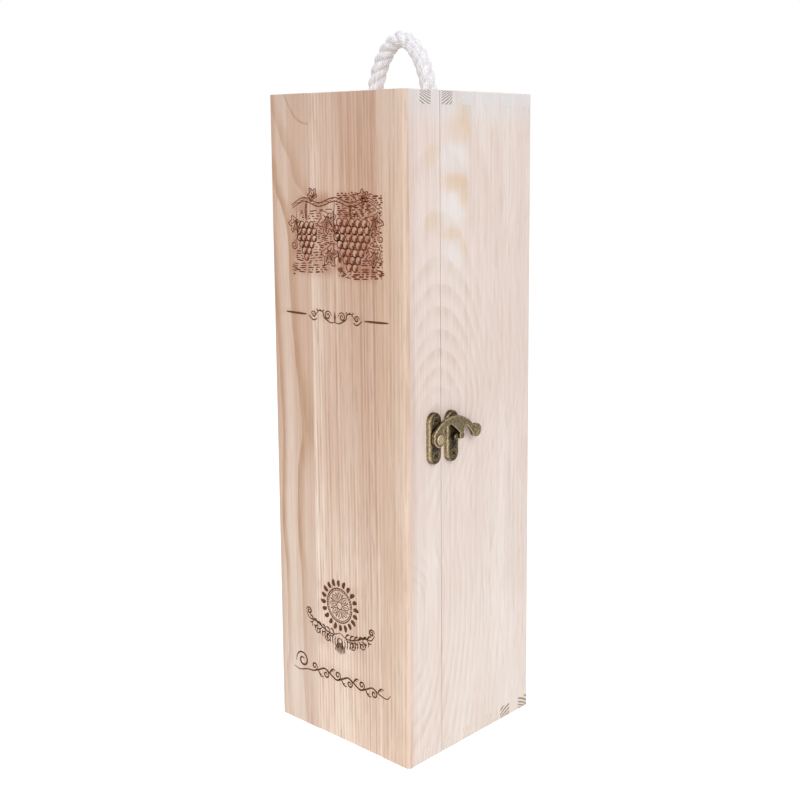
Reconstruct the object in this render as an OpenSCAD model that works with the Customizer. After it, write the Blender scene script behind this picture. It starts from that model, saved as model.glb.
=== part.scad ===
// Wooden gift box for one bottle of wine. A case of thin pine boards is finger-jointed at its four
// corners and sawn apart into a deep body and a shallow lid. The lid turns on two butt hinges, is
// held shut by a swinging hook, and the box is carried by a loop of rope knotted inside its top.
// The origin is the centre of the footprint, on the surface that the box stands on. +Z is up, the
// face of the lid looks along -Y, the hinges are at -X and the hook is at +X.

/* [Case] */
// Width of the case
case_w = 100; // [92:1:130]
// Depth of the closed case, lid and body together
case_d = 100; // [92:1:130]
// Height of the case
case_h = 350; // [320:5:420]
// Thickness of the frame boards
board_t = 7; // [6:0.5:9]
// Number of fingers along each corner of the frame
finger_count = 12; // [8:1:14]

/* [Lid] */
// Depth of the lid, from its face to the saw cut
lid_d = 25.8; // [22:0.1:32]
// Width of the saw cut between the lid and the body
saw_gap = 0.4; // [0.3:0.1:1]
// Thickness of the boards glued over the front of the lid
face_t = 3; // [2.5:0.25:5]
// Width of the left board of the face
left_board_w = 31; // [20:1:40]
// Width of the right board of the face
right_board_w = 19; // [12:1:30]
// Rounding of the face's long edges
face_edge_r = 2.5; // [0.5:0.25:2.5]

/* [Back] */
// Thickness of the back panel, let in flush
back_t = 4; // [3:0.5:5]
// Width of the rebate that the back panel sits in
rebate_w = 3.5; // [2:0.5:4]

/* [Hinges] */
// Height of a hinge
hinge_h = 20; // [16:1:30]
// Distance of each hinge's middle from the end of the case
hinge_inset = 60; // [30:1:90]
// Width of a leaf, from the pin's axis to its edge
leaf_w = 10; // [9.5:0.5:14]
// Thickness of a leaf
leaf_t = 1; // [0.8:0.1:1.3]
// Radius of a knuckle
knuckle_r = 1.9; // [1.7:0.1:2.3]
// Radius of the hinge pin
pin_r = 0.9; // [0.7:0.05:1]
// Distance of a hinge screw from the middle of the hinge's height
hinge_screw_pitch = 5.5; // [5:0.1:6]

/* [Latch] */
// Height of the hook's pivot above the base
latch_z = 174.2; // [120:0.1:220]
// Distance of the hook's pivot from the middle of the saw cut
hook_offset = 7; // [6.5:0.1:8]
// Distance of the catch plate's middle line from the middle of the saw cut
catch_offset = 6.5; // [6.3:0.1:8]
// Distance of the catch plate's middle below the pivot
catch_drop = 0.9; // [0:0.1:2]
// Length of a latch plate
plate_l = 27; // [26:0.5:34]
// Width of a latch plate
plate_w = 9.2; // [8.5:0.1:9.8]
// Thickness of a latch plate
plate_t = 3; // [2.5:0.1:3.5]
// Rounding of a latch plate's rim
plate_edge_r = 1.1; // [0.4:0.1:1.4]
// Distance of a latch screw from the middle of its plate
latch_screw_pitch = 9.1; // [8.6:0.1:9.5]
// Radius of the catch post
post_r = 1.5; // [1.2:0.1:1.8]
// Height of the catch post above its plate
post_h = 2.5; // [2:0.1:3]

/* [Hook] */
// Thickness of the hook
hook_t = 2.2; // [2:0.1:3]
// Radius of the hook's eye
eye_r = 4.2; // [3.8:0.1:4.4]
// Radius of the rivet that the hook turns on
rivet_r = 1.6; // [1.2:0.1:1.8]
// Radius of the rivet's head
rivet_head_r = 2.6; // [2.2:0.1:3]
// Height of the rivet's head
rivet_head_h = 1.4; // [0.8:0.1:1.8]
// Outer radius of the hook's arm
arm_outer_r = 20.3; // [19:0.1:22]
// Width of the arm at its crown
arm_w = 3.7; // [3.4:0.1:4.2]
// Amount by which the arm narrows towards the thumb button
arm_taper = 0.3; // [0.2:0.1:1]
// Distance from the pivot to the thumb button
hook_reach = 29.2; // [28:0.1:31]
// Radius of the thumb button
button_r = 3.6; // [3.2:0.1:4]
// Height of the thumb button
button_h = 3.2; // [2.8:0.1:4]
// Radius of the claw's round tip
claw_r = 1.9; // [1.5:0.1:2.1]
// Gap between the claw and the post that it catches
claw_play = 0.4; // [0.4:0.1:0.9]

/* [Screws] */
// Radius of a latch screw's head
latch_screw_head_r = 2.4; // [2.1:0.1:2.6]
// Radius of a latch screw's shank
latch_screw_r = 1.2; // [0.9:0.1:1.3]
// Radius of a hinge screw's head
hinge_screw_head_r = 1.8; // [1.6:0.1:2]
// Radius of a hinge screw's shank
hinge_screw_r = 0.9; // [0.7:0.05:1]
// Wood left between the tip of a screw and the inside of the case
screw_cover = 1.5; // [1:0.25:2.5]

/* [Rope] */
// Radius of the rope
rope_r = 4.6; // [3:0.1:5]
// Distance of the rope behind the middle of the case
rope_back = 1; // [0:0.5:12]
// Gap around the rope in its holes
rope_play = 0.5; // [0.25:0.05:1]
// Radius of a stopper knot
knot_r = 11; // [8:0.5:13]
// Height of a stopper knot
knot_h = 19; // [14:0.5:24]

/* [Hidden] */
$fn = 64;

eps = 1;          // overshoot of a cut past a free face
fit = 0.05;       // clearance round a pin, rivet or screw
screw_dome = 0.25; // height of a screw head's dome above its plate
air = 0.15;       // clearance between the knuckles along the pin
wood = "#e6d2bc";
bronze = "#6b5d3f";
white = "#f2f1ee";

// The frame stands behind the lid's face.
frame_front = -case_d / 2 + face_t;
frame_d = case_d - face_t;
finger_w = frame_d / finger_count;

// The saw cut.
lid_back = -case_d / 2 + lid_d;
body_front = lid_back + saw_gap;
seam = lid_back + saw_gap / 2;

// The hinges.
pin_out = knuckle_r + 0.1;                  // pin's axis above the outside of the case
leaf_relief = knuckle_r + 0.3;              // where a leaf stops beside the other leaf's knuckle
knuckle_h = hinge_h / 3;
leaf_screw_x = (leaf_relief + leaf_w) / 2;
hinge_heights = [case_h - hinge_inset, hinge_inset];
hinge_screw_l = leaf_t + board_t - screw_cover;
pin_head_r = pin_r + 0.4;
pin_head_h = 0.7;

// The latch.
latch_screw_l = plate_t + board_t - screw_cover;
boss_h = 0.4;                               // raised ring that the hook's eye turns on
hook_lift = plate_t + boss_h + fit;         // underside of the hook above the case
pivot_y = seam - hook_offset;
catch_y = seam + catch_offset;
catch_distance = norm([hook_offset + catch_offset, catch_drop]);

// The hook lies in a plane of its own, with its pivot at the origin and its button on the X axis.
arm_inner_r = arm_outer_r - arm_w;
arm_mid_r = arm_outer_r - arm_w / 2;
arm_shoulder = 1;                           // the arm's outer edge passes this far outside the eye
eye_from_arm = arm_outer_r - eye_r - arm_shoulder;
arm_centre_x = (hook_reach ^ 2 + eye_from_arm ^ 2 - arm_outer_r ^ 2) / (2 * hook_reach);
arm_centre_y = -sqrt(eye_from_arm ^ 2 - arm_centre_x ^ 2);
arm_start = atan2(-arm_centre_y, hook_reach - arm_centre_x);
arm_end = atan2(-arm_centre_y, -arm_centre_x);
arm_edge_r = 0.6;                           // rounding of the arm's outer edges
claw_mid_r = catch_distance + post_r + claw_play + claw_r;
claw_turn = -2.7;                           // direction of the claw's tip from the pivot

// The rope's middle line from knot to knot, across the box and up from the top.
rope_route = [
    [-20, -board_t], [-20, -3], [-19.8, 2], [-18.4, 8], [-16, 14.5], [-12.6, 20.6],
    [-7.2, 26.5], [0, 29.3], [7.2, 26.5],
    [12.6, 20.6], [16, 14.5], [18.4, 8], [19.8, 2], [20, -3], [20, -board_t]
];
rope_sides = 10;
rope_half_span = rope_route[len(rope_route) - 1][0];

function polar(r, a) = [r * cos(a), r * sin(a)];

// ---- Placing ----

// On the hook's side of the case: X runs to the back, Y up and Z out of the case.
module on_right() {
    translate([case_w / 2, 0, 0])
        rotate([90, 0, 90])
            children();
}

// The same on the hinges' side.
module on_left() {
    mirror([1, 0, 0])
        on_right()
            children();
}

module at_hinges() {
    for (z = hinge_heights)
        on_left()
            translate([seam, z, 0])
                children();
}

// ---- Screws and rivets ----

// Countersunk wood screw with a low domed head and a cross recess, lying along -Z from a plate's
// upper face.
module wood_screw(shank_r, head_r, length) {
    cone_h = head_r - shank_r;
    difference() {
        rotate_extrude()
            polygon([
                [0, screw_dome], [0.55 * head_r, 0.75 * screw_dome], [head_r, 0],
                [shank_r, -cone_h],
                [shank_r, 2 * shank_r - length], [0, -length]
            ]);
        for (a = [0, 90])
            rotate(a)
                translate([-0.65 * head_r, -0.13 * head_r, -0.2 * head_r])
                    cube([1.3 * head_r, 0.26 * head_r, head_r]);
    }
}

// The countersunk hole for that screw in a plate.
module screw_hole(shank_r, head_r, depth) {
    cone_h = head_r - shank_r;
    translate([0, 0, -depth - eps])
        cylinder(r = shank_r + fit, h = depth + eps);
    translate([0, 0, -cone_h])
        cylinder(r1 = shank_r + fit, r2 = head_r + fit, h = cone_h);
    cylinder(r = head_r + fit, h = eps);
}

// A round boss with a domed top.
module domed_disc(r, h, dome_r) {
    intersection() {
        cylinder(r = r, h = h);
        translate([0, 0, h - dome_r])
            sphere(r = dome_r);
    }
}

// ---- Wood ----

// Cut for one finger of the neighbouring board; the first and last run out of the frame.
module finger_slot(i, x, z, size_x, size_z) {
    front = i == 0 ? eps : 0;
    back = i == finger_count - 1 ? eps : 0;
    translate([x, frame_front + i * finger_w - front, z])
        cube([size_x, finger_w + front + back, size_z]);
}

module back_panel_block(extra) {
    half_w = case_w / 2 - board_t + rebate_w;
    low = board_t - rebate_w;
    translate([-half_w, case_d / 2 - back_t, low])
        cube([2 * half_w, back_t + extra, case_h - 2 * low]);
}

// Right-hand board of the frame, before the case is sawn apart.
module side_board() {
    difference() {
        translate([case_w / 2 - board_t, frame_front, 0])
            cube([board_t, frame_d, case_h]);
        for (i = [1 : 2 : finger_count - 1], z = [-eps, case_h - board_t])
            finger_slot(i, case_w / 2 - board_t - eps, z, board_t + 2 * eps, board_t + eps);
        back_panel_block(eps);
    }
}

// Bottom board of the frame, before the case is sawn apart.
module end_board() {
    difference() {
        translate([-case_w / 2, frame_front, 0])
            cube([case_w, frame_d, board_t]);
        for (i = [0 : 2 : finger_count - 1], x = [-case_w / 2 - eps, case_w / 2 - board_t])
            finger_slot(i, x, -eps, board_t + eps, board_t + 2 * eps);
        back_panel_block(eps);
    }
}

module to_top() {
    translate([0, 0, case_h])
        mirror([0, 0, 1])
            children();
}

module slab(y0, y1) {
    translate([-case_w, y0, -eps])
        cube([2 * case_w, y1 - y0, case_h + 2 * eps]);
}

module lid_part() {
    intersection() {
        children();
        slab(-case_d, lid_back);
    }
}

module body_part() {
    intersection() {
        children();
        slab(body_front, case_d);
    }
}

// Pilot holes for the latch screws, seen in the frame of on_right.
module latch_pilots(x, y) {
    for (dy = [-latch_screw_pitch, latch_screw_pitch])
        translate([x, y + dy, plate_t - latch_screw_l - fit])
            cylinder(r = latch_screw_r + fit, h = latch_screw_l);
}

// Pilot holes for one hinge leaf, seen in the frame of on_left; side is -1 on the lid.
module hinge_pilots(side) {
    at_hinges()
        for (dy = [-hinge_screw_pitch, hinge_screw_pitch])
            translate([side * leaf_screw_x, dy, leaf_t - hinge_screw_l - fit])
                cylinder(r = hinge_screw_r + fit, h = hinge_screw_l);
}

module back_panel() {
    color(wood)
        back_panel_block(0);
}

module box_left_side() {
    color(wood)
        difference() {
            mirror([1, 0, 0])
                body_part()
                    side_board();
            hinge_pilots(1);
        }
}

module box_right_side() {
    color(wood)
        difference() {
            body_part()
                side_board();
            on_right()
                latch_pilots(catch_y, latch_z - catch_drop);
        }
}

module box_top_end() {
    color(wood)
        difference() {
            to_top()
                body_part()
                    end_board();
            for (x = [-rope_half_span, rope_half_span])
                translate([x, rope_back, case_h - board_t - eps])
                    cylinder(r = rope_r + rope_play, h = board_t + 2 * eps);
        }
}

module box_bottom_end() {
    color(wood)
        body_part()
            end_board();
}

module lid_left_side() {
    color(wood)
        difference() {
            mirror([1, 0, 0])
                lid_part()
                    side_board();
            hinge_pilots(-1);
        }
}

module lid_right_side() {
    color(wood)
        difference() {
            lid_part()
                side_board();
            on_right()
                latch_pilots(pivot_y, latch_z);
        }
}

module lid_top_end() {
    color(wood)
        to_top()
            lid_part()
                end_board();
}

module lid_bottom_end() {
    color(wood)
        lid_part()
            end_board();
}

// Outline of the whole face seen from above, its two front corners rounded.
module face_outline() {
    r = min(face_edge_r, face_t);
    translate([-case_w / 2, -case_d / 2 + r])
        square([case_w, face_t - r]);
    translate([-case_w / 2 + r, -case_d / 2])
        square([case_w - 2 * r, face_t]);
    for (x = [-case_w / 2 + r, case_w / 2 - r])
        translate([x, -case_d / 2 + r])
            circle(r = r);
}

// One board of the face, between two lines across the box.
module face_board(x0, x1) {
    linear_extrude(height = case_h)
        intersection() {
            face_outline();
            translate([x0, -case_d / 2])
                square([x1 - x0, face_t]);
        }
}

module lid_face_left() {
    color(wood)
        face_board(-case_w, -case_w / 2 + left_board_w);
}

module lid_face_middle() {
    color(wood)
        face_board(-case_w / 2 + left_board_w, case_w / 2 - right_board_w);
}

module lid_face_right() {
    color(wood)
        face_board(case_w / 2 - right_board_w, case_w);
}

// ---- Hinges ----

// The body's leaf, with a knuckle at each end of the pin, or the lid's, with the middle knuckle.
// X runs from the pin's axis over the leaf, Y along the pin and Z out of the case.
module hinge_leaf(spans) {
    difference() {
        union() {
            translate([leaf_relief, -hinge_h / 2, 0])
                cube([leaf_w - leaf_relief, hinge_h, leaf_t]);
            for (s = spans) {
                translate([0, s[0], 0])
                    cube([leaf_relief + 0.5, s[1] - s[0], leaf_t]);
                translate([0, s[0], pin_out])
                    rotate([-90, 0, 0])
                        cylinder(r = knuckle_r, h = s[1] - s[0]);
            }
        }
        translate([0, -hinge_h / 2 - eps, pin_out])
            rotate([-90, 0, 0])
                cylinder(r = pin_r + fit, h = hinge_h + 2 * eps);
        for (dy = [-hinge_screw_pitch, hinge_screw_pitch])
            translate([leaf_screw_x, dy, leaf_t])
                screw_hole(hinge_screw_r, hinge_screw_head_r, leaf_t);
    }
}

module box_leaf(z) {
    color(bronze)
        on_left()
            translate([seam, z, 0])
                hinge_leaf([[-hinge_h / 2, -knuckle_h / 2 - air], [knuckle_h / 2 + air, hinge_h / 2]]);
}

module lid_leaf(z) {
    color(bronze)
        on_left()
            translate([seam, z, 0])
                mirror([1, 0, 0])
                    hinge_leaf([[-knuckle_h / 2, knuckle_h / 2]]);
}

module hinge_pin(z) {
    color(bronze)
        on_left()
            translate([seam, z, pin_out])
                for (turn = [90, -90])
                    rotate([turn, 0, 0]) {
                        cylinder(r = pin_r, h = hinge_h / 2);
                        translate([0, 0, hinge_h / 2])
                            domed_disc(pin_head_r, pin_head_h, 2 * pin_head_r);
                    }
}

module upper_hinge_box_leaf() {
    box_leaf(hinge_heights[0]);
}

module upper_hinge_lid_leaf() {
    lid_leaf(hinge_heights[0]);
}

module upper_hinge_pin() {
    hinge_pin(hinge_heights[0]);
}

module lower_hinge_box_leaf() {
    box_leaf(hinge_heights[1]);
}

module lower_hinge_lid_leaf() {
    lid_leaf(hinge_heights[1]);
}

module lower_hinge_pin() {
    hinge_pin(hinge_heights[1]);
}

module hinge_screws(side) {
    color(bronze)
        at_hinges()
            for (dy = [-hinge_screw_pitch, hinge_screw_pitch])
                translate([side * leaf_screw_x, dy, leaf_t])
                    wood_screw(hinge_screw_r, hinge_screw_head_r, hinge_screw_l);
}

module hinge_box_screws() {
    hinge_screws(1);
}

module hinge_lid_screws() {
    hinge_screws(-1);
}

// ---- Latch ----

// Half of a latch plate's cross-section: flat below, its rim rounded above.
module plate_profile() {
    half_w = plate_w / 2;
    square([half_w, plate_t - plate_edge_r]);
    square([half_w - plate_edge_r, plate_t]);
    translate([half_w - plate_edge_r, plate_t - plate_edge_r])
        circle(r = plate_edge_r);
}

// Plate with two round ends and two countersunk holes, standing along Y.
module latch_plate() {
    straight = plate_l - plate_w;
    difference() {
        union() {
            for (y = [-straight / 2, straight / 2])
                translate([0, y, 0])
                    rotate_extrude()
                        plate_profile();
            for (side = [0, 1])
                mirror([side, 0, 0])
                    translate([0, straight / 2, 0])
                        rotate([90, 0, 0])
                            linear_extrude(height = straight)
                                plate_profile();
        }
        for (y = [-latch_screw_pitch, latch_screw_pitch])
            translate([0, y, plate_t])
                screw_hole(latch_screw_r, latch_screw_head_r, plate_t);
    }
}

module latch_screws() {
    for (y = [-latch_screw_pitch, latch_screw_pitch])
        translate([0, y, plate_t])
            wood_screw(latch_screw_r, latch_screw_head_r, latch_screw_l);
}

module at_pivot() {
    on_right()
        translate([pivot_y, latch_z, 0])
            children();
}

module at_catch() {
    on_right()
        translate([catch_y, latch_z - catch_drop, 0])
            children();
}

module hook_plate() {
    color(bronze)
        at_pivot()
            difference() {
                union() {
                    latch_plate();
                    cylinder(r = rivet_head_r + 0.4, h = plate_t + boss_h);
                }
                translate([0, 0, -eps])
                    cylinder(r = rivet_r + fit, h = plate_t + 2 * eps);
            }
}

module hook_plate_screws() {
    color(bronze)
        at_pivot()
            latch_screws();
}

module hook_rivet() {
    color(bronze)
        at_pivot() {
            cylinder(r = rivet_r, h = hook_lift + hook_t + fit);
            translate([0, 0, hook_lift + hook_t + fit])
                domed_disc(rivet_head_r, rivet_head_h, 1.6 * rivet_head_r);
        }
}

// Curved arm, cut from a disc, narrowing from its crown to the thumb button and round at the eye.
module hook_arm() {
    reach = 2 * arm_outer_r;
    translate([arm_centre_x, arm_centre_y, 0]) {
        intersection() {
            rotate_extrude()
                arm_profile();
            linear_extrude(height = hook_t)
                difference() {
                    polygon([
                        [0, 0], polar(reach, arm_start), polar(reach, (arm_start + arm_end) / 2),
                        polar(reach, arm_end)
                    ]);
                    translate(polar(arm_taper, arm_start))
                        circle(r = arm_inner_r);
                }
        }
        translate(polar(arm_mid_r, arm_end))
            cylinder(r = arm_w / 2 - 0.15, h = hook_t);
    }
}

// Half of the cross-section of the disc that the arm is cut from.
module arm_profile() {
    square([arm_outer_r - arm_edge_r, hook_t]);
    translate([0, arm_edge_r])
        square([arm_outer_r, hook_t - 2 * arm_edge_r]);
    for (y = [arm_edge_r, hook_t - arm_edge_r])
        translate([arm_outer_r - arm_edge_r, y])
            circle(r = arm_edge_r);
}

// Point on the middle line of the arm, by its direction from the centre of the arm's curve.
function on_arm(a) = [arm_centre_x, arm_centre_y] + polar(arm_mid_r, a);

// Round claw that drops behind the post, on a curved web below the arm.
module hook_claw() {
    linear_extrude(height = hook_t) {
        polygon([
            on_arm(98), polar(0.64 * claw_mid_r, 35), polar(0.7 * claw_mid_r, 25.5),
            polar(0.75 * claw_mid_r, 17.5), polar(0.82 * claw_mid_r, 10.5),
            polar(0.88 * claw_mid_r, 5.5), polar(claw_mid_r, claw_turn),
            polar(1.085 * claw_mid_r, 3.5), polar(1.095 * claw_mid_r, 7),
            polar(1.13 * claw_mid_r, 9.5), on_arm(57), on_arm(77)
        ]);
        translate(polar(claw_mid_r, claw_turn))
            circle(r = claw_r);
    }
}

module hook() {
    color(bronze)
        at_pivot()
            translate([0, 0, hook_lift])
                difference() {
                    union() {
                        cylinder(r = eye_r, h = hook_t);
                        hook_arm();
                        hook_claw();
                        translate([hook_reach, 0, 0])
                            domed_disc(button_r, button_h, 1.8 * button_r);
                    }
                    translate([0, 0, -eps])
                        cylinder(r = rivet_r + fit, h = hook_t + 2 * eps);
                }
}

module catch_plate() {
    color(bronze)
        at_catch() {
            latch_plate();
            translate([0, 0, plate_t])
                domed_disc(post_r, post_h, 1.6 * post_r);
        }
}

module catch_plate_screws() {
    color(bronze)
        at_catch()
            latch_screws();
}

// ---- Rope ----

// Direction of the rope at point i of its route.
function rope_way(i) =
    let (a = rope_route[max(i - 1, 0)], b = rope_route[min(i + 1, len(rope_route) - 1)])
    (i == 0 || i == len(rope_route) - 1) ? [0, i == 0 ? 1 : -1] : (b - a) / norm(b - a);

// Ring of points round the rope at point i of its route.
function rope_ring(i) =
    let (p = rope_route[i], way = rope_way(i))
    [for (k = [0 : rope_sides - 1])
        let (a = 360 * k / rope_sides, out = rope_r * cos(a))
        [p[0] - out * way[1], rope_back + rope_r * sin(a), case_h + p[1] + out * way[0]]];

module rope_handle() {
    rings = len(rope_route);
    points = [for (i = [0 : rings - 1]) each rope_ring(i)];
    walls = [
        for (i = [0 : rings - 2], k = [0 : rope_sides - 1])
            let (a = i * rope_sides + k, b = i * rope_sides + (k + 1) % rope_sides)
            [a, b, b + rope_sides, a + rope_sides]
    ];
    first = [for (k = [rope_sides - 1 : -1 : 0]) k];
    last = [for (k = [0 : rope_sides - 1]) (rings - 1) * rope_sides + k];
    color(white)
        polyhedron(points = points, faces = concat(walls, [first, last]), convexity = 4);
}

// Stopper knot under the top board: two turns of the rope drawn tight.
module rope_knot(x) {
    turn_r = knot_h / 4;
    color(white)
        translate([x, rope_back, case_h - board_t])
            mirror([0, 0, 1])
                rotate_extrude() {
                    square([knot_r - turn_r, knot_h]);
                    for (z = [turn_r, knot_h - turn_r])
                        translate([knot_r - turn_r, z])
                            circle(r = turn_r);
                }
}

module rope_knot_left() {
    rope_knot(-rope_half_span);
}

module rope_knot_right() {
    rope_knot(rope_half_span);
}

back_panel();
box_left_side();
box_right_side();
box_top_end();
box_bottom_end();
lid_face_left();
lid_face_middle();
lid_face_right();
lid_left_side();
lid_right_side();
lid_top_end();
lid_bottom_end();
upper_hinge_box_leaf();
upper_hinge_lid_leaf();
upper_hinge_pin();
lower_hinge_box_leaf();
lower_hinge_lid_leaf();
lower_hinge_pin();
hinge_box_screws();
hinge_lid_screws();
hook_plate();
hook_plate_screws();
hook_rivet();
hook();
catch_plate();
catch_plate_screws();
rope_handle();
rope_knot_left();
rope_knot_right();
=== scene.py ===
import random
from functools import partial
from math import atan2, cos, degrees, exp, hypot, pi, radians, sin

import bmesh
import bpy
import numpy as np
from mathutils import Matrix, Vector


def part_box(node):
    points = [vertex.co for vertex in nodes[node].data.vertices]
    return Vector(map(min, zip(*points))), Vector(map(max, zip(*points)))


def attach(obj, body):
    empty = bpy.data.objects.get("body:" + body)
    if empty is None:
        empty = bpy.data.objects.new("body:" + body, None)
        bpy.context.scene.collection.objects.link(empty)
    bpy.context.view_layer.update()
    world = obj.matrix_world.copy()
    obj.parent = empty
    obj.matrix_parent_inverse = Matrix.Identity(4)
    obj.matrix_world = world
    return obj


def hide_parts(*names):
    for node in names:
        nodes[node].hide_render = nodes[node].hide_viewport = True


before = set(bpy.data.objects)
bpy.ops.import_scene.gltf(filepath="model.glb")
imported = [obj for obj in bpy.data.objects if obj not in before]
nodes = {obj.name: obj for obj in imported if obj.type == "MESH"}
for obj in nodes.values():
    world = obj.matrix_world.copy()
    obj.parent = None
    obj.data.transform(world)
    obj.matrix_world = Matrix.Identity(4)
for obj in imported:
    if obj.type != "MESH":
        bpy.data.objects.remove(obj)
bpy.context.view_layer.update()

mm = 0.001
# width, depth and height of the closed case, without its rope and hardware
caseSize = [round(high - low, 6) for low, high in zip(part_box("lid_face_left")[0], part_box("box_top_end")[1])]
print("frame loaded,", len(nodes), "CAD nodes")


def linear(hexValue):
    # sRGB hex to the linear colour that sockets take
    shares = [int(hexValue[i:i + 2], 16) / 255 for i in (1, 3, 5)]
    return (*(c / 12.92 if c <= 0.04045 else ((c + 0.055) / 1.055) ** 2.4 for c in shares), 1.0)


def addNode(tree, kind, inputs=(), out=0, **settings):
    # adds a node, such as "Mix" or "Math ADD" with its operation, and links the inputs that are sockets;
    # gives one output, or the node where out is None
    kind, _, operation = kind.partition(" ")
    node = tree.nodes.new(kind if "Node" in kind else "ShaderNode" + kind)
    if operation:
        node.operation = operation
    for key, value in settings.items():
        setattr(node, key, value)
    for key, value in inputs.items() if isinstance(inputs, dict) else enumerate(inputs):
        if isinstance(value, bpy.types.NodeSocket):
            tree.links.new(value, node.inputs[key])
        else:
            coloured = isinstance(value, str) and value.startswith("#")
            node.inputs[key].default_value = linear(value) if coloured else value
    return node if out is None else node.outputs[out]


smoothStep = {"interpolation_type": "SMOOTHSTEP"}
colourMix = {"out": 2, "data_type": "RGBA"}


def newMaterial(name):
    # a material without nodes, and addNode for its tree
    material = bpy.data.materials.new(name)
    material.use_nodes = True
    material.node_tree.nodes.clear()
    return material, partial(addNode, material.node_tree)


def fillRamp(ramp, shades):
    # colours of a ramp, as (place, hex colour) pairs from low to high
    stops = ramp.color_ramp.elements
    for stop, (place, shade) in zip(stops, (shades[0], shades[-1])):
        stop.position, stop.color = place, linear(shade)
    for place, shade in shades[1:-1]:
        stops.new(place).color = linear(shade)


def newObject(name, data):
    obj = bpy.data.objects.new(name, data)
    bpy.context.scene.collection.objects.link(obj)
    return obj


def mergedCopy(node):
    # a CAD node's mesh is loose triangles, so a copy of it is merged first
    work = bmesh.new()
    work.from_mesh(nodes[node].data)
    bmesh.ops.remove_doubles(work, verts=work.verts, dist=1e-6)
    return work


def endWork(work, name):
    mesh = bpy.data.meshes.new(name)
    work.to_mesh(mesh)
    work.free()
    return mesh


def settle(obj):
    # puts the evaluated result in place of the mesh and its modifiers
    bpy.context.view_layer.update()
    graph = bpy.context.evaluated_depsgraph_get()
    mesh = bpy.data.meshes.new_from_object(obj.evaluated_get(graph), depsgraph=graph)
    mesh.name = obj.name
    obj.modifiers.clear()
    obj.data = mesh
    return obj


def runTree(obj, tree, values):
    # gives a Geometry Nodes tree its inputs by identifier, then keeps what it makes
    modifier = obj.modifiers.new(tree.name, "NODES")
    modifier.node_group = tree
    for item in tree.interface.items_tree:
        if item.item_type == "SOCKET" and item.in_out == "INPUT" and item.name in values:
            modifier[item.identifier] = values[item.name]
    return settle(obj)


def newTree(name, sockets):
    # a Geometry Nodes tree with named inputs, addNode for it, and what it is given
    tree = bpy.data.node_groups.new(name, "GeometryNodeTree")
    for label, kind in [("Geometry", "Geometry"), *sockets, ("Material", "Material")]:
        tree.interface.new_socket(label, in_out="INPUT", socket_type="NodeSocket" + kind)
    tree.interface.new_socket("Geometry", in_out="OUTPUT", socket_type="NodeSocketGeometry")
    add = partial(addNode, tree)
    given = add("NodeGroupInput", out=None).outputs
    return tree, add, {socket.name: socket for socket in given if socket.name}


def endTree(add, geometry, material):
    whole = add("GeometryNodeRealizeInstances", [geometry])
    painted = add("GeometryNodeSetMaterial", {"Geometry": whole, "Material": material})
    add("NodeGroupOutput", [painted], out=None)


def lineMesh(name, lines, widths=None):
    # polylines as edges, for trees that start with Mesh to Curve
    points, edges, reach = [], [], []
    for i, line in enumerate(lines):
        start = len(points)
        points += [tuple(p) for p in line]
        edges += [(start + k, start + k + 1) for k in range(len(line) - 1)]
        reach += list(widths[i]) if widths else [1.0] * len(line)
    mesh = bpy.data.meshes.new(name)
    mesh.from_pydata(points, edges, [])
    mesh.attributes.new("reach", "FLOAT", "POINT").data.foreach_set("value", reach)
    return newObject(name, mesh)


def smoothLine(points, pieces=10):
    # Catmull-Rom line through the points
    p = [np.array(q, float) for q in points]
    p = [2 * p[0] - p[1]] + p + [2 * p[-1] - p[-2]]
    line = []
    for before, start, stop, after in zip(p, p[1:], p[2:], p[3:]):
        for t in (k / pieces for k in range(pieces)):
            line.append(0.5 * (2 * start + (stop - before) * t
                               + (2 * before - 5 * start + 4 * stop - after) * t * t
                               + (3 * start - before - 3 * stop + after) * t ** 3))
    return line + [p[-2]]


camera = {
    "place": (0.4542, -0.4778, 0.3215),
    "yaw": 42.21, "pitch": 8.24, "roll": -0.27,    # degrees
    "lens": 54.16, "sensor": 36, "shift": (-0.0375, -0.09725),
}


def makeCamera():
    yaw, pitch, roll = (radians(camera[k]) for k in ("yaw", "pitch", "roll"))
    ahead = Vector((-sin(yaw) * cos(pitch), cos(yaw) * cos(pitch), -sin(pitch)))
    right = Vector((cos(yaw), sin(yaw), 0))
    up = right.cross(ahead)
    side = cos(roll) * right + sin(roll) * up
    top = cos(roll) * up - sin(roll) * right
    data = bpy.data.cameras.new("Camera")
    data.sensor_width, data.lens = camera["sensor"], camera["lens"]
    data.shift_x, data.shift_y = camera["shift"]
    obj = newObject("Camera", data)
    turn = Matrix((side, top, -ahead)).transposed().to_4x4()
    obj.matrix_world = Matrix.Translation(camera["place"]) @ turn
    bpy.context.scene.camera = obj


makeCamera()
print("camera placed")


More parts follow.
